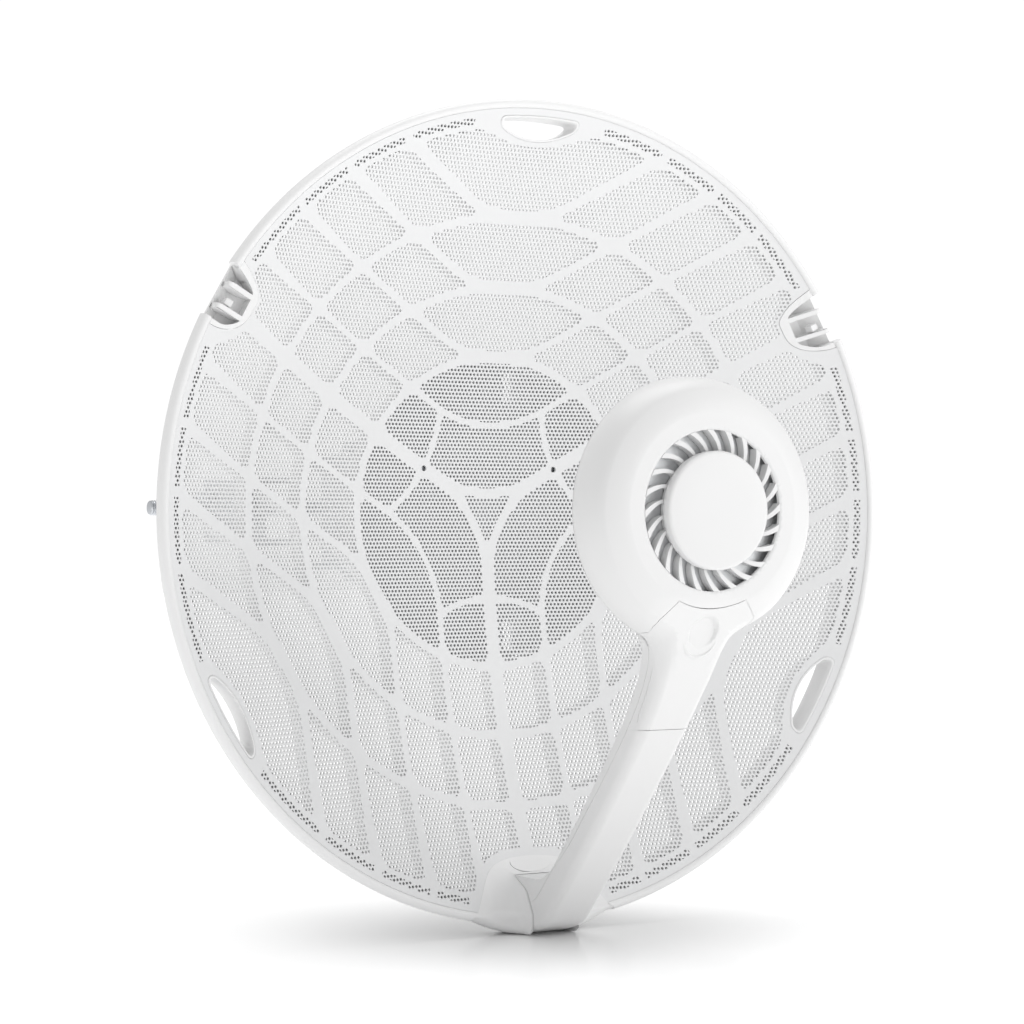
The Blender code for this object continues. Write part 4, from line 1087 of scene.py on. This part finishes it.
def tab_loop(left=0.0, rest=0.0):
    """Release tab, straight above and curved like a smile below, grown by left at its lower left."""
    a = np.radians(np.linspace(0.0, -180.0, 41))
    grow = rest + (left - rest) * ease(-np.cos(a), -0.05, 0.45)
    smile = np.stack([(0.0115 + grow) * np.cos(a), -0.1752 + (0.0046 + grow) * np.sin(a)], axis=-1)
    z = -0.1746 + rest
    top = np.array([(-0.0115 - left, z), (-0.0095, z), (0.0115 + rest, z)])
    return np.concatenate([top, smile])


def dense(line, step):
    """The same line with points at most step apart."""
    out = [line[:1]]
    for a, b in zip(line, line[1:]):
        count = max(1, int(np.ceil(np.linalg.norm(b - a) / step)))
        out.append(a + (b - a) * (np.arange(1, count + 1) / count)[:, None])
    return np.concatenate(out)


# ---------------------------------------------------------------- radio

def arm_bow(z):
    """Front edge of the arm between pod and foot: slightly bowed."""
    rise = z - ARM_FOOT[1]
    t = np.clip(rise / 0.1235, 0.0, 1.0)
    return ARM_FOOT[0] - 0.8785 * rise - 0.0132 * t * (1.0 - t)


def arm_line(z):
    """Front edge of the arm: bowed, flatter behind the pod, turned level at the foot."""
    y = smooth_max(arm_bow(z), -0.1308 - 0.55 * (z - ARM_TOP_Z), 0.0050)
    s = np.clip((z - FOOT_LOW_Z) / (FOOT_TURN_Z - FOOT_LOW_Z), 0.0, 1.0)
    turned_up = arm_bow(FOOT_TURN_Z) * (0.392 * s + 0.608 * (1.0 - (1.0 - s) ** 2.6))
    return np.where(z < FOOT_TURN_Z, turned_up, y)


def arm_depth(p):
    """Distance inside the arm's straight sides, which flare out where they meet the pod."""
    z = p[..., 1]
    flare = 0.0126 * np.exp((np.minimum(z, -0.046) + 0.052) / NECK)
    beside = (ARM_HALF_W + flare - np.abs(p[..., 0])) / np.hypot(1.0, flare / NECK)
    return beside - 3.0 * np.maximum(z + 0.046, 0.0)


def side_depth(p):
    """Distance inside the plan of pod and arm, blind to the lower end of the foot."""
    return smooth_max(POD_R - np.linalg.norm(p, axis=-1), arm_depth(p), 0.0035)


def radio_front(p):
    """Front of pod and arm: flat vane ring, gentle band, ramp down to the arm, and rounded edges."""
    r = np.linalg.norm(p, axis=-1)
    band = np.clip((r - RING_R) / (CREASE_R - RING_R), 0.0, 1.0) ** 1.6
    face = smooth_max(RING_Y + (CREASE_Y - RING_Y) * band, arm_line(p[..., 1]), 0.0020)
    depth = side_depth(p)
    t = np.clip(1.0 - depth / (POD_R - CREASE_R), 0.0, 1.0)
    shoulder = (POD_EDGE_Y - CREASE_Y) * (0.22 * t + 0.78 * (1.0 - np.sqrt(1.0 - t * t)))
    d = np.clip(depth, 0.0, ARM_EDGE)
    edge = (ARM_EDGE - np.sqrt(ARM_EDGE ** 2 - (ARM_EDGE - d) ** 2)) / ARM_COS
    low = ease(-p[..., 1], 0.048, 0.080)
    return face + shoulder * (1.0 - low) + edge * low + 6.0 * np.maximum(-depth, 0.0)


def seam_y(p):
    """Parting plane between front and rear shell."""
    z = p[..., 1]
    inset = 0.0096 + 0.0015 * ease(-z, 0.100, 0.157) + 0.0028 * ease(-z, 0.157, 0.180)
    s = np.clip((z - FOOT_SEAM_Z) / 0.0080, 0.0, 1.0)
    level = arm_line(z) + inset / ARM_COS
    level = level + 0.0110 * (1.0 - np.sqrt(np.clip(1.0 - (1.0 - s) ** 2.5, 0.0, 1.0)))
    level = np.where(z < FOOT_SEAM_Z, FOOT_BACK_Y, np.minimum(level, FOOT_BACK_Y))
    return smooth_max(level, np.full_like(z, POD_SEAM_Y), 0.0030)


def rear_y(p):
    """Back of the rear shell: a shallow cone behind the pod, along the arm, level again at the foot."""
    z = p[..., 1]
    d = np.clip(side_depth(p), 0.0, 0.0030)
    edge = 0.0030 - np.sqrt(np.maximum(0.0030 ** 2 - (0.0030 - d) ** 2, 0.0))
    s = np.clip((z - FOOT_REAR_Z) / 0.0100, 0.0, 1.0)
    arm = arm_line(z) + 0.0158 / ARM_COS - edge
    arm = arm + 0.0100 * (1.0 - np.sqrt(np.clip(1.0 - (1.0 - s) ** 2.5, 0.0, 1.0)))
    arm = np.where(z < FOOT_REAR_Z, FOOT_BACK_Y, np.minimum(arm, FOOT_BACK_Y))
    arm = arm - 3.0 * np.maximum(-arm_depth(p), 0.0) - 2.0 * np.maximum(z + 0.055, 0.0)
    cone = POD_REAR_Y - 1.54 * (np.linalg.norm(p, axis=-1) - 0.0470)
    pod = smooth_min(cone, np.full_like(z, POD_REAR_Y), 0.0040)
    return smooth_max(pod, arm, 0.0030)


def cover_plan():
    """Port cover from the front: an arc under the vane ring, shoulders, then past the arm's sides."""
    arc = np.stack([polar(COVER_ARC_R, a) for a in np.linspace(246.0, 294.0, 25)])
    right = np.array([(0.0255, -0.0486), (0.0256, -0.0520), (0.0244, -0.0548), (0.0300, -0.0562),
                      (0.0450, -0.0600), (0.0450, COVER_LOW_Z)])
    return np.concatenate([arc, right, right[::-1] * [-1.0, 1.0]])


COVER = cover_plan()


def cover_edge_y(p):
    """Rear edge of the cover's sides: a step ahead of the shell seam, rounded up at the lower end."""
    z = p[..., 1]
    q = np.sqrt(np.clip(1.0 - (np.clip(-0.0915 - z, 0.0, 0.0095) / 0.0095) ** 2, 0.0, 1.0))
    side = radio_front(np.stack([np.zeros_like(z), z], axis=-1)) + COVER_SIDE / ARM_COS * q
    pod = np.full_like(z, POD_SEAM_Y - 0.0018)
    return smooth_max(side, pod, 0.0020)


def cover_back_y(p):
    """Rear edge of the cover's skirt, which keeps some thickness where the sides run out."""
    return np.maximum(cover_edge_y(p), radio_front(p) + 0.0008)


def thumb_recess(p):
    """Depth of the thumb recess in the cover, negative where its lower lip stands proud."""
    x, z = p[..., 0], p[..., 1]
    upper = np.hypot(x, z + 0.0550)
    lower = np.hypot(x, z + 0.0580)
    bowl = 0.0019 * ease(0.0081 - upper, 0.0, 0.0018) * ease(z, -0.0645, -0.0530)
    lip = 0.0007 * ease(lower, 0.0076, 0.0084) * ease(0.0094 - lower, 0.0, 0.0007) * ease(-z, 0.0585, 0.0640)
    return bowl - lip


def cover_front(p):
    return radio_front(p) + thumb_recess(p)


def side_depth_closed(p):
    return smooth_min(side_depth(p), p[..., 1] - FOOT_LOW_Z, 0.0006)


@functools.cache
def contour(level):
    """Line round the radio's plan, level inside its edge."""
    return trace(side_depth_closed, (0.0, POD_R - level), 0.0012, level)


def radio_plan(keep, extra_paths, free=()):
    """Plan of pod and arm with contour loops where the surface bends most."""
    radii = (RING_R, 0.0455, 0.0475, 0.0500, 0.0525, CREASE_R, 0.0558, 0.0572, 0.0584, 0.0594, 0.0602, 0.0607)
    paths = closed_paths(*[contour(level) for level in EDGE_LEVELS])
    paths += closed_paths(*[ring_loop(radius, 220) for radius in radii]) + extra_paths
    grid = grid_points(side_depth_closed, 0.0020, ARM_EDGE + 0.0006, (-0.062, -0.209), (0.062, 0.062))
    points = np.concatenate([grid, *free])
    return triangulate(paths, points, lambda c: inside(c, contour(0.0)) & keep(c))


def level_path(z):
    return (dense(np.array([(-0.066, z), (0.066, z)]), 0.0012), False)


def make_front_shell():
    """Front shell: pod ring and shoulder, arm front, open under the port cover."""
    inner = contour(WALL)
    lower = [level_path(z) for z in (FOOT_SEAM_Z, FOOT_SEAM_Z - 0.0001, -0.2082, -0.2078, -0.2070, -0.2060,
                                     -0.2048, -0.2034, -0.2018, -0.2000, FOOT_TURN_Z)]
    brink = shrunk(COVER, -0.0001)
    paths = closed_paths(COVER, brink, ring_loop(VENT_R, 200), ring_loop(VENT_EDGE_R, 200), inner) + lower

    def keep(c):
        free = np.linalg.norm(c, axis=-1) > VENT_R
        bay = inside(c, COVER) & (side_depth(c) > WALL)
        return free & ~bay

    def front(p):
        under = loop_depth(p, COVER) > -0.00003
        r = np.linalg.norm(p, axis=-1)
        chamfer = VENT_EDGE_R - VENT_R
        face = radio_front(p) + np.where(r < VENT_EDGE_R, chamfer - np.clip(r - VENT_R, 0.0, chamfer), 0.0)
        return np.where(under, cover_back_y(p) + SEAM, face)

    def back(p):
        solid = (side_depth(p) < WALL + 1e-6) | (p[..., 1] < -0.19)
        return np.where(solid, seam_y(p), np.minimum(radio_front(p) + WALL, seam_y(p)))

    shell = thicken("front_shell", radio_plan(keep, paths), SHELL, front, back)
    place(shell, "radio", "radio_front_shell")


def make_cover():
    """Port cover with its thumb recess, a seam's width clear of the shell all round."""
    inner = contour(WALL + 0.0003)
    fine = grid_points(lambda p: 0.0120 - np.hypot(p[..., 0], p[..., 1] + 0.0575), 0.0004, 0.0,
                       (-0.014, -0.072), (0.014, -0.044))
    edge = shrunk(COVER, SEAM)

    def keep(c):
        return inside(c, edge)

    plan = radio_plan(keep, closed_paths(edge, inner), [fine])

    def back(p):
        wall = side_depth(p) < WALL + 0.0003 + 1e-6
        skin = radio_front(p) + WALL
        return np.where(wall, cover_back_y(p), skin)

    place(thicken("cover", plan, SHELL, cover_front, back), "port_cover", "port_cover")


def make_rear_shell():
    """Rear shell: round tray behind the pod and the back of the arm."""
    inner = contour(WALL)
    lower = [level_path(z) for z in (FOOT_REAR_Z, FOOT_REAR_Z - 0.0001, -0.1795, -0.1788, -0.1778, -0.1765,
                                     -0.1750, -0.1730, -0.1700, -0.1938, -0.1930, -0.1915, -0.1900)]

    def keep(c):
        return c[:, 1] > FOOT_SEAM_Z + 0.0002

    def front(p):
        solid = (side_depth(p) < WALL + 1e-6) | (p[..., 1] < -0.165)
        level = seam_y(p) + SEAM
        return np.where(solid, np.minimum(level, FOOT_BACK_Y - 0.0004), np.maximum(level, rear_y(p) - WALL))

    rings = closed_paths(ring_loop(0.0420, 160), ring_loop(0.0470, 160))
    plan = radio_plan(keep, closed_paths(inner) + lower + rings)

    def back(p):
        return np.maximum(rear_y(p), front(p) + 0.0004)

    place(thicken("rear_shell", plan, SHELL, front, back), "radio", "radio_rear_shell")


def make_vanes():
    """Swept vanes on a hidden hub, flush with the pod's flat ring."""
    hub, tip = CAP_R - 0.0018, VENT_R - 0.00003
    pitch = 360.0 / VANES
    radii = np.linspace(hub, tip, 16)

    def share(r):
        return np.clip((r - CAP_R) / (tip - CAP_R), 0.0, 1.0)

    def sweep(r):
        return VANE_PHASE + 11.5 * share(r) ** 1.2

    def half(r):
        return np.degrees((0.00075 + 0.00085 * share(r)) / r)

    paths = closed_paths(*[ring_loop(radius, 240) for radius in (hub - 0.0020, hub, tip)])
    for k in range(VANES):
        for side in (-1.0, 1.0):
            angle = np.radians(k * pitch + sweep(radii) + side * half(radii))
            paths.append((np.stack([radii * np.cos(angle), radii * np.sin(angle)], axis=-1), False))

    def keep(c):
        r = np.linalg.norm(c, axis=-1)
        angle = np.degrees(np.arctan2(c[:, 1], c[:, 0])) - sweep(r)
        off = np.abs((angle + pitch / 2) % pitch - pitch / 2)
        return ((r < hub) | (off < half(r))) & (r < tip) & (r > hub - 0.0020)

    def front(p):
        return RING_Y + 0.0009 * (1.0 - share(np.linalg.norm(p, axis=-1))) ** 2

    ring = thicken("vane_ring", triangulate(paths, [], keep), VANE, front,
                   lambda p: np.full(len(p), RING_Y + 0.0050))
    place(ring, "radio", "louvre_ring")


def make_cap():
    """Cap over the vanes' hub, very slightly domed, with a rounded edge."""
    foot = RING_Y + 0.0002
    edge = ((0.0018, 0.0001), (0.0011, 0.0002), (0.0006, 0.0004), (0.0002, 0.0008), (0.0, 0.0013))
    profile = [(0.0, CAP_Y), (0.0150, CAP_Y)] + [(CAP_R - inset, CAP_Y + drop) for inset, drop in edge]
    profile += [(CAP_R, foot), (CAP_R - 0.0022, foot), (CAP_R - 0.0022, foot + 0.0030), (0.0, foot + 0.0030)]
    place(turned("cap", profile, SHELL, 160), "radio", "centre_cap")


def make_sink():
    """Finned heat sink behind the vanes, closed towards them by a ring that lies on the fins; all of it in a
    lightened cast colour, painted light that brightens the shaded gaps between the vanes.
    """
    base = [(0.0, -0.1341), (0.0470, -0.1341), (0.0484, -0.1337), (0.0490, -0.1330), (0.0490, -0.1302),
            (0.0480, -0.1297), (0.0, -0.1297)]
    place(turned("sink_base", base, SINK_PAINTED_LIGHT, 96), "radio", "heatsink")
    face = [(0.0220, -0.1452), (0.0224, -0.1456), (0.0392, -0.1456), (0.0396, -0.1452), (0.0396, -0.1446),
            (0.0220, -0.1446)]
    place(turned("sink_face", face, SINK_PAINTED_LIGHT, 120), "radio")
    fins = []
    for i in range(19):
        x = -0.0423 + 0.0047 * i
        reach = min(math.sqrt(0.0455 ** 2 - x * x), 0.0400)
        fins.append([box_outline(x, y, 0.0, half, long)
                     for half, y, long in ((0.00075, -0.1335, reach), (0.00055, -0.1446, reach * 0.985))])
    place(blocks("sink_fins", fins, SINK_PAINTED_LIGHT, 0.0002), "radio")


# ---------------------------------------------------------------- mount

def hexagon_rings(low, high):
    """Rings of a hexagon whose corners are chamfered at both ends."""
    angle = (np.arange(HEX_STEPS) * 360.0 / HEX_STEPS + 30.0) % 60.0 - 30.0
    edge = HEX_CORNER * math.cos(math.radians(30.0)) / np.cos(np.radians(angle))
    insets = (0.0, 0.0002, 0.0004, 0.0006, 0.0009)
    near = [(np.minimum(edge, HEX_FACE_R + 1.73 * inset), low + inset) for inset in insets]
    far = [(np.minimum(edge, HEX_FACE_R + 1.73 * inset), high - inset) for inset in insets[::-1]]
    return near + far


def thread_rings(low, high):
    """Rings of a screw thread, with a coned end at high."""
    phase = np.arange(HEX_STEPS) / HEX_STEPS
    rings = []
    for along in np.arange(low + THREAD_PITCH / 6, high, THREAD_PITCH / 6):
        tooth = np.abs(2.0 * ((along / THREAD_PITCH - phase) % 1.0) - 1.0)
        rings.append((np.minimum(M8 - THREAD_DEPTH * tooth, M8 - 0.0009 + high - along), along))
    return rings


def make_bolt(node, spot, axis, head, length, thread):
    """Hexagon bolt: its head behind spot, its shank along axis, threaded over its last part."""
    rings = [(0.0, -head), *hexagon_rings(-head, 0.0), (M8, 0.0), (M8, length - thread)]
    rings += [*thread_rings(length - thread, length), (0.0, length)]
    bolt = turned(node + "_threaded", rings, ZINC, HEX_STEPS, axis, spot)
    place(bolt, body_of(node), node)


def make_nut(node, spot, axis, height):
    rings = hexagon_rings(0.0, height)
    rings += [(M8 + 0.0004, height), (M8, height - 0.0004), (M8, 0.0004), (M8 + 0.0004, 0.0)]
    place(turned(node + "_chamfered", rings, ZINC, HEX_STEPS, axis, spot), body_of(node), node)


def make_washer(node, spot, axis):
    t, edge = 0.0014, 0.0002
    rings = [(0.0085 - edge, 0.0), (0.0085, edge), (0.0085, t - edge), (0.0085 - edge, t),
             (0.0043 + edge, t), (0.0043, t - edge), (0.0043, edge), (0.0043 + edge, 0.0)]
    place(turned(node + "_stamped", rings, ZINC, HEX_STEPS, axis, spot), body_of(node), node)


def make_screw(node, spot, radius, height, shank_r, shank):
    """Pan-head screw with a cross recess, its head behind spot and its shank towards -Y."""
    angle = np.arange(HEX_STEPS) * 2.0 * math.pi / HEX_STEPS
    rings = [(0.0, -shank), (shank_r, -shank), (shank_r, 0.0)] if shank else [(0.0, 0.0)]
    rings += [(radius - 0.0002, 0.0), (radius, 0.0003), (radius * 0.98, height * 0.55),
              (radius * 0.86, height * 0.86), (radius * 0.68, height * 0.98), (radius * 0.56, height)]
    for share in (0.54, 0.50, 0.44, 0.36, 0.28, 0.20, 0.12):
        off = radius * share * np.minimum(np.abs(np.sin(angle)), np.abs(np.cos(angle)))
        depth = height * 0.55 * (1.0 - ease(off, radius * 0.09, radius * 0.13)) * ease(-share, -0.54, -0.44)
        rings.append((radius * share, height - depth))
    rings.append((0.0, height * 0.42))
    place(turned(node + "_pan", rings, ZINC, HEX_STEPS, Y_AXIS, spot), "dish", node)


def make_hub_plate():
    """Steel disc behind the hub, with two cable-tie slots and its three screw holes."""
    loops = [ring_loop(HUB_PLATE_R - inset, 200) for inset in (0.0, 0.0002, 0.0006)]
    slot = np.array([(0.0110, -0.0075), (0.0170, -0.0075), (0.0170, 0.0075), (0.0110, 0.0075)])
    holes = [slot + [0.0, z] for z in (-0.064, 0.064)]
    holes += [ring_loop(0.0019, 24, polar(SCREW_CIRCLE_R, axis)) for axis in CROSS_AXES]

    def keep(c):
        solid = np.linalg.norm(c, axis=-1) < HUB_PLATE_R
        for hole in holes:
            solid &= ~inside(c, hole)
        return solid

    def rounding(p):
        return 0.0006 * ease(np.linalg.norm(p, axis=-1), HUB_PLATE_R - 0.0007, HUB_PLATE_R)

    plan = triangulate(closed_paths(*loops, *holes), [], keep)
    plate = thicken("hub_disc", plan, ZINC_SHEET, lambda p: HUB_PLATE_Y + rounding(p),
                    lambda p: HUB_PLATE_Y + HUB_PLATE_T - rounding(p))
    place(plate, "dish", "hub_plate")


def make_mount():
    make_hub_plate()
    for number, axis in enumerate(CROSS_AXES):
        x, z = polar(SCREW_CIRCLE_R, axis)
        make_screw(f"hub_screw_{number + 1}", (x, 0.0638, z), 0.0032, 0.0023, 0.0016, 0.0063)
    corners = [(x, z) for z in (-0.0175, 0.0175) for x in (-0.0235, 0.0235)]
    for number, (x, z) in enumerate(corners):
        make_screw(f"bracket_screw_{number + 1}", (x, 0.0683, z), 0.0040, 0.0026, 0.0, 0.0)
    softened("tilt_bracket", 0.0012, CAST, 3)
    softened("swivel_yoke", 0.0014, CAST, 3)
    softened("inner_jaw", 0.0006, ZINC_SHEET)
    softened("outer_jaw", 0.0006, ZINC_SHEET)
    make_bolt("tilt_bolt", (-0.0200, TILT_Y, 0.0), X_AXIS, 0.0055, 0.0470, 0.0200)
    make_washer("tilt_washer", (0.0188, TILT_Y, 0.0), X_AXIS)
    make_nut("tilt_nut", (0.0205, TILT_Y, 0.0), X_AXIS, NUT_H)
    make_bolt("swivel_bolt", (*SWIVEL_XY, 0.0318), -Z_AXIS, 0.0055, 0.0700, 0.0200)
    make_nut("swivel_nut", (*SWIVEL_XY, -0.0303), -Z_AXIS, NUT_H)
    for side, y in zip(("front", "rear"), JAW_BOLT_Y):
        start = (CLAMP_HEAD_X, y, JAW_BOLT_Z)
        make_bolt(f"clamp_bolt_{side}", start, -X_AXIS, 0.0042, CLAMP_HEAD_X - BOLT_TIP_X, 0.0850)
        make_washer(f"clamp_washer_{side}", (-0.1183, y, JAW_BOLT_Z), -X_AXIS)
        make_nut(f"clamp_nut_{side}", (-0.1200, y, JAW_BOLT_Z), -X_AXIS, NUT_H)


# ---------------------------------------------------------------- inside the radio

def arm_spot(x, along, inset):
    """Point of the arm: along it from the foot, and inset from its front edge."""
    y = ARM_FOOT[0] - ARM_SIN * along + ARM_COS * inset
    z = ARM_FOOT[1] + ARM_COS * along + ARM_SIN * inset
    return (x, y, z)


def arm_bar(x, along, inset):
    """Outlines of a bar square to the arm, between pairs of x, along and inset."""
    return [[arm_spot(side, end, level) for side, end in ((x[0], along[0]), (x[1], along[0]),
                                                          (x[1], along[1]), (x[0], along[1]))]
            for level in inset]


def make_bay():
    """Jack with its contacts, board, cable seal, reset button and the two rails under the port cover."""
    softened("port_board", 0.0002, BOARD)
    transformer = arm_bar((-0.0062, 0.0062), (0.1382, 0.1405), (0.0092, 0.0113))
    place(blocks("magnetics", [transformer], DARK, 0.0003), "radio")
    softened("ethernet_jack", 0.0004, TIN)
    rows = [(-0.00357 + 0.00102 * i, 0.0042 + 0.0001 * (i % 2)) for i in range(8)]
    contacts = [arm_bar((x - 0.0002, x + 0.0002), (0.1425, 0.1530), (level, level + 0.0004))
                for x, level in rows]
    place(blocks("jack_contacts", contacts, GOLD, 0.0001), "radio")
    run = Vector((0.0, -ARM_SIN, ARM_COS))
    seal = [(0.0038, 0.0), (0.0041, 0.0004), (0.0041, 0.0012), (0.0037, 0.0017), (0.0041, 0.0022),
            (0.0041, 0.0030), (0.0037, 0.0035), (0.0041, 0.0040), (0.0041, 0.0046), (0.0038, 0.0050),
            (0.0029, 0.0050), (0.0026, 0.0046), (0.0026, 0.0004), (0.0029, 0.0)]
    grommet = turned("cable_grommet", seal, RUBBER, 48, run, arm_spot(0.0, 0.1290, 0.0083))
    place(grommet, "radio", "cable_seal")
    button = [(0.0, 0.0), (0.0015, 0.0), (0.0015, 0.0034), (0.0014, 0.0038), (0.0011, 0.0040),
              (0.0006, 0.0039), (0.0, 0.0038)]
    outwards = Vector((0.0, -ARM_COS, -ARM_SIN))
    place(turned("reset_plunger", button, DARK, 40, outwards, arm_spot(0.0, 0.1372, 0.0100)),
          "reset_button", "reset_button")
    rails = [arm_bar((-0.0105, 0.0105), (0.1240, 0.1278), (0.0037, 0.0052))]
    for x in (-0.0094, 0.0094):
        corners = [arm_spot(x, *spot) for spot in ((0.123, 0.0034), (0.123, 0.0095), (0.165, 0.0095))]
        corners += [(x, -0.1365, -0.0560), (x, -0.1400, -0.0405), (x, -0.1490, -0.0405)]
        corners.append(arm_spot(x, 0.165, 0.0034))
        rails.append([[(x + s * 0.0008, y, z) for x, y, z in corners] for s in (-1.0, 1.0)])
    place(blocks("bay_rails", rails, SHELL, 0.0003), "radio")


def make_boards():
    """Radio board with its can, the feed horn behind it, the backup antenna and the pod's seal."""
    y = -0.1266
    disc = [(0.0, y), (0.0518, y), (0.0520, y + 0.0002), (0.0520, y + 0.0014), (0.0518, y + 0.0016),
            (0.0, y + 0.0016)]
    place(turned("radio_disc", disc, BOARD, 120), "radio", "radio_board")
    softened("radio_module", 0.0005, TIN)
    rng = np.random.default_rng(7)
    chips = []
    for i in range(16):
        angle = 360.0 / 16 * i + rng.uniform(-6.0, 6.0)
        x, z = polar(rng.uniform(0.032, 0.045), angle)
        half_w = rng.uniform(0.0012, 0.0034)
        half_h = rng.uniform(0.0010, 0.0026)
        tall = rng.uniform(0.0006, 0.0014)
        chips.append([box_outline(x, level, z, half_w, half_h) for level in (y, y - tall)])
    place(blocks("board_chips", chips, DARK, 0.00012), "radio")
    horn = [(0.0, -0.1247), (0.0078, -0.1247), (0.0080, -0.1244), (0.0080, -0.1203), (0.0083, -0.1198),
            (0.0168, -0.1113), (0.0170, -0.1110), (0.0155, -0.1110), (0.0060, -0.1205), (0.0, -0.1205)]
    place(turned("horn", horn, CAST, 96), "radio", "feed_horn")
    softened("backup_antenna", 0.0002, BOARD)
    patch = [box_outline(0.0350, level, 0.0, 0.0080, 0.0105) for level in (-0.1160, -0.11625)]
    place(blocks("antenna_patch", [patch], GOLD, 0.00008), "radio")
    a = np.radians(np.arange(0.0, 360.0, 30.0))
    seal = list(zip(0.0555 + 0.0010 * np.cos(a), -0.1277 + 0.0012 * np.sin(a)))
    place(turned("pod_seal", seal, RUBBER, 120), "radio", "pod_gasket")


# ---------------------------------------------------------------- stage

def area_light(name, spot, aim, width, height, power):
    data = bpy.data.lights.new(name, "AREA")
    data.shape = "RECTANGLE"
    data.size = width
    data.size_y = height
    data.energy = power
    lamp = bpy.data.objects.new(name, data)
    bpy.context.scene.collection.objects.link(lamp)
    lamp.location = Vector(spot)
    lamp.rotation_euler = (Vector(aim) - Vector(spot)).to_track_quat("-Z", "Y").to_euler()
    return lamp


def make_world():
    """White backdrop for camera rays, and a softer fill for every other ray, reflections too."""
    world = bpy.data.worlds.new("studio")
    bpy.context.scene.world = world
    world.use_nodes = True
    tree = world.node_tree
    back = tree.nodes["Background"]
    path = tree.nodes.new("ShaderNodeLightPath")
    level = tree.nodes.new("ShaderNodeMapRange")
    level.inputs["To Min"].default_value = FILL_LEVEL
    level.inputs["To Max"].default_value = BACKDROP_LEVEL
    tree.links.new(path.outputs["Is Camera Ray"], level.inputs["Value"])
    tree.links.new(level.outputs["Result"], back.inputs["Strength"])
    back.inputs["Color"].default_value = (1.0, 1.0, 1.0, 1.0)


def make_floor():
    size = 6.0
    z = -BOSS_DROP
    verts = [(-size, -size, z), (size, -size, z), (size, size, z), (-size, size, z)]
    floor = mesh_object("floor", verts, [[0, 1, 2, 3]], floor_finish())


def make_camera():
    azimuth, elevation, distance = math.radians(-29.7355), math.radians(-0.178), 1.368
    back = Vector((math.sin(azimuth) * math.cos(elevation), -math.cos(azimuth) * math.cos(elevation),
                   math.sin(elevation)))
    right = Vector((math.cos(azimuth), math.sin(azimuth), 0.0))
    up = back.cross(right)
    data = bpy.data.cameras.new("camera")
    data.lens = 96.85
    data.sensor_width = 36.0
    camera = bpy.data.objects.new("camera", data)
    bpy.context.scene.collection.objects.link(camera)
    spot = RIM_CENTRE + back * distance + right * -0.01568 + up * -0.00026
    camera.matrix_world = Matrix.Translation(spot) @ Matrix((right, up, back)).transposed().to_4x4()
    bpy.context.scene.camera = camera


def make_stage():
    make_world()
    make_floor()
    make_camera()
    area_light("top_softbox", (0.1, 0.25, 1.2), (0.0, 0.0, 0.0), 0.9, 0.9, 6.8)
    area_light("right_softbox", (1.0, -1.1, 0.4), (0.0, 0.0, 0.0), 0.9, 1.2, 6.6)
    bpy.context.scene.view_settings.view_transform = "Standard"


def main():
    make_sheet()
    make_ribs()
    make_rim()
    make_slot_collars()
    make_sockets()
    make_boss()
    make_front_shell()
    make_cover()
    make_rear_shell()
    make_vanes()
    make_cap()
    make_sink()
    make_boards()
    make_bay()
    make_mount()
    make_stage()


main()
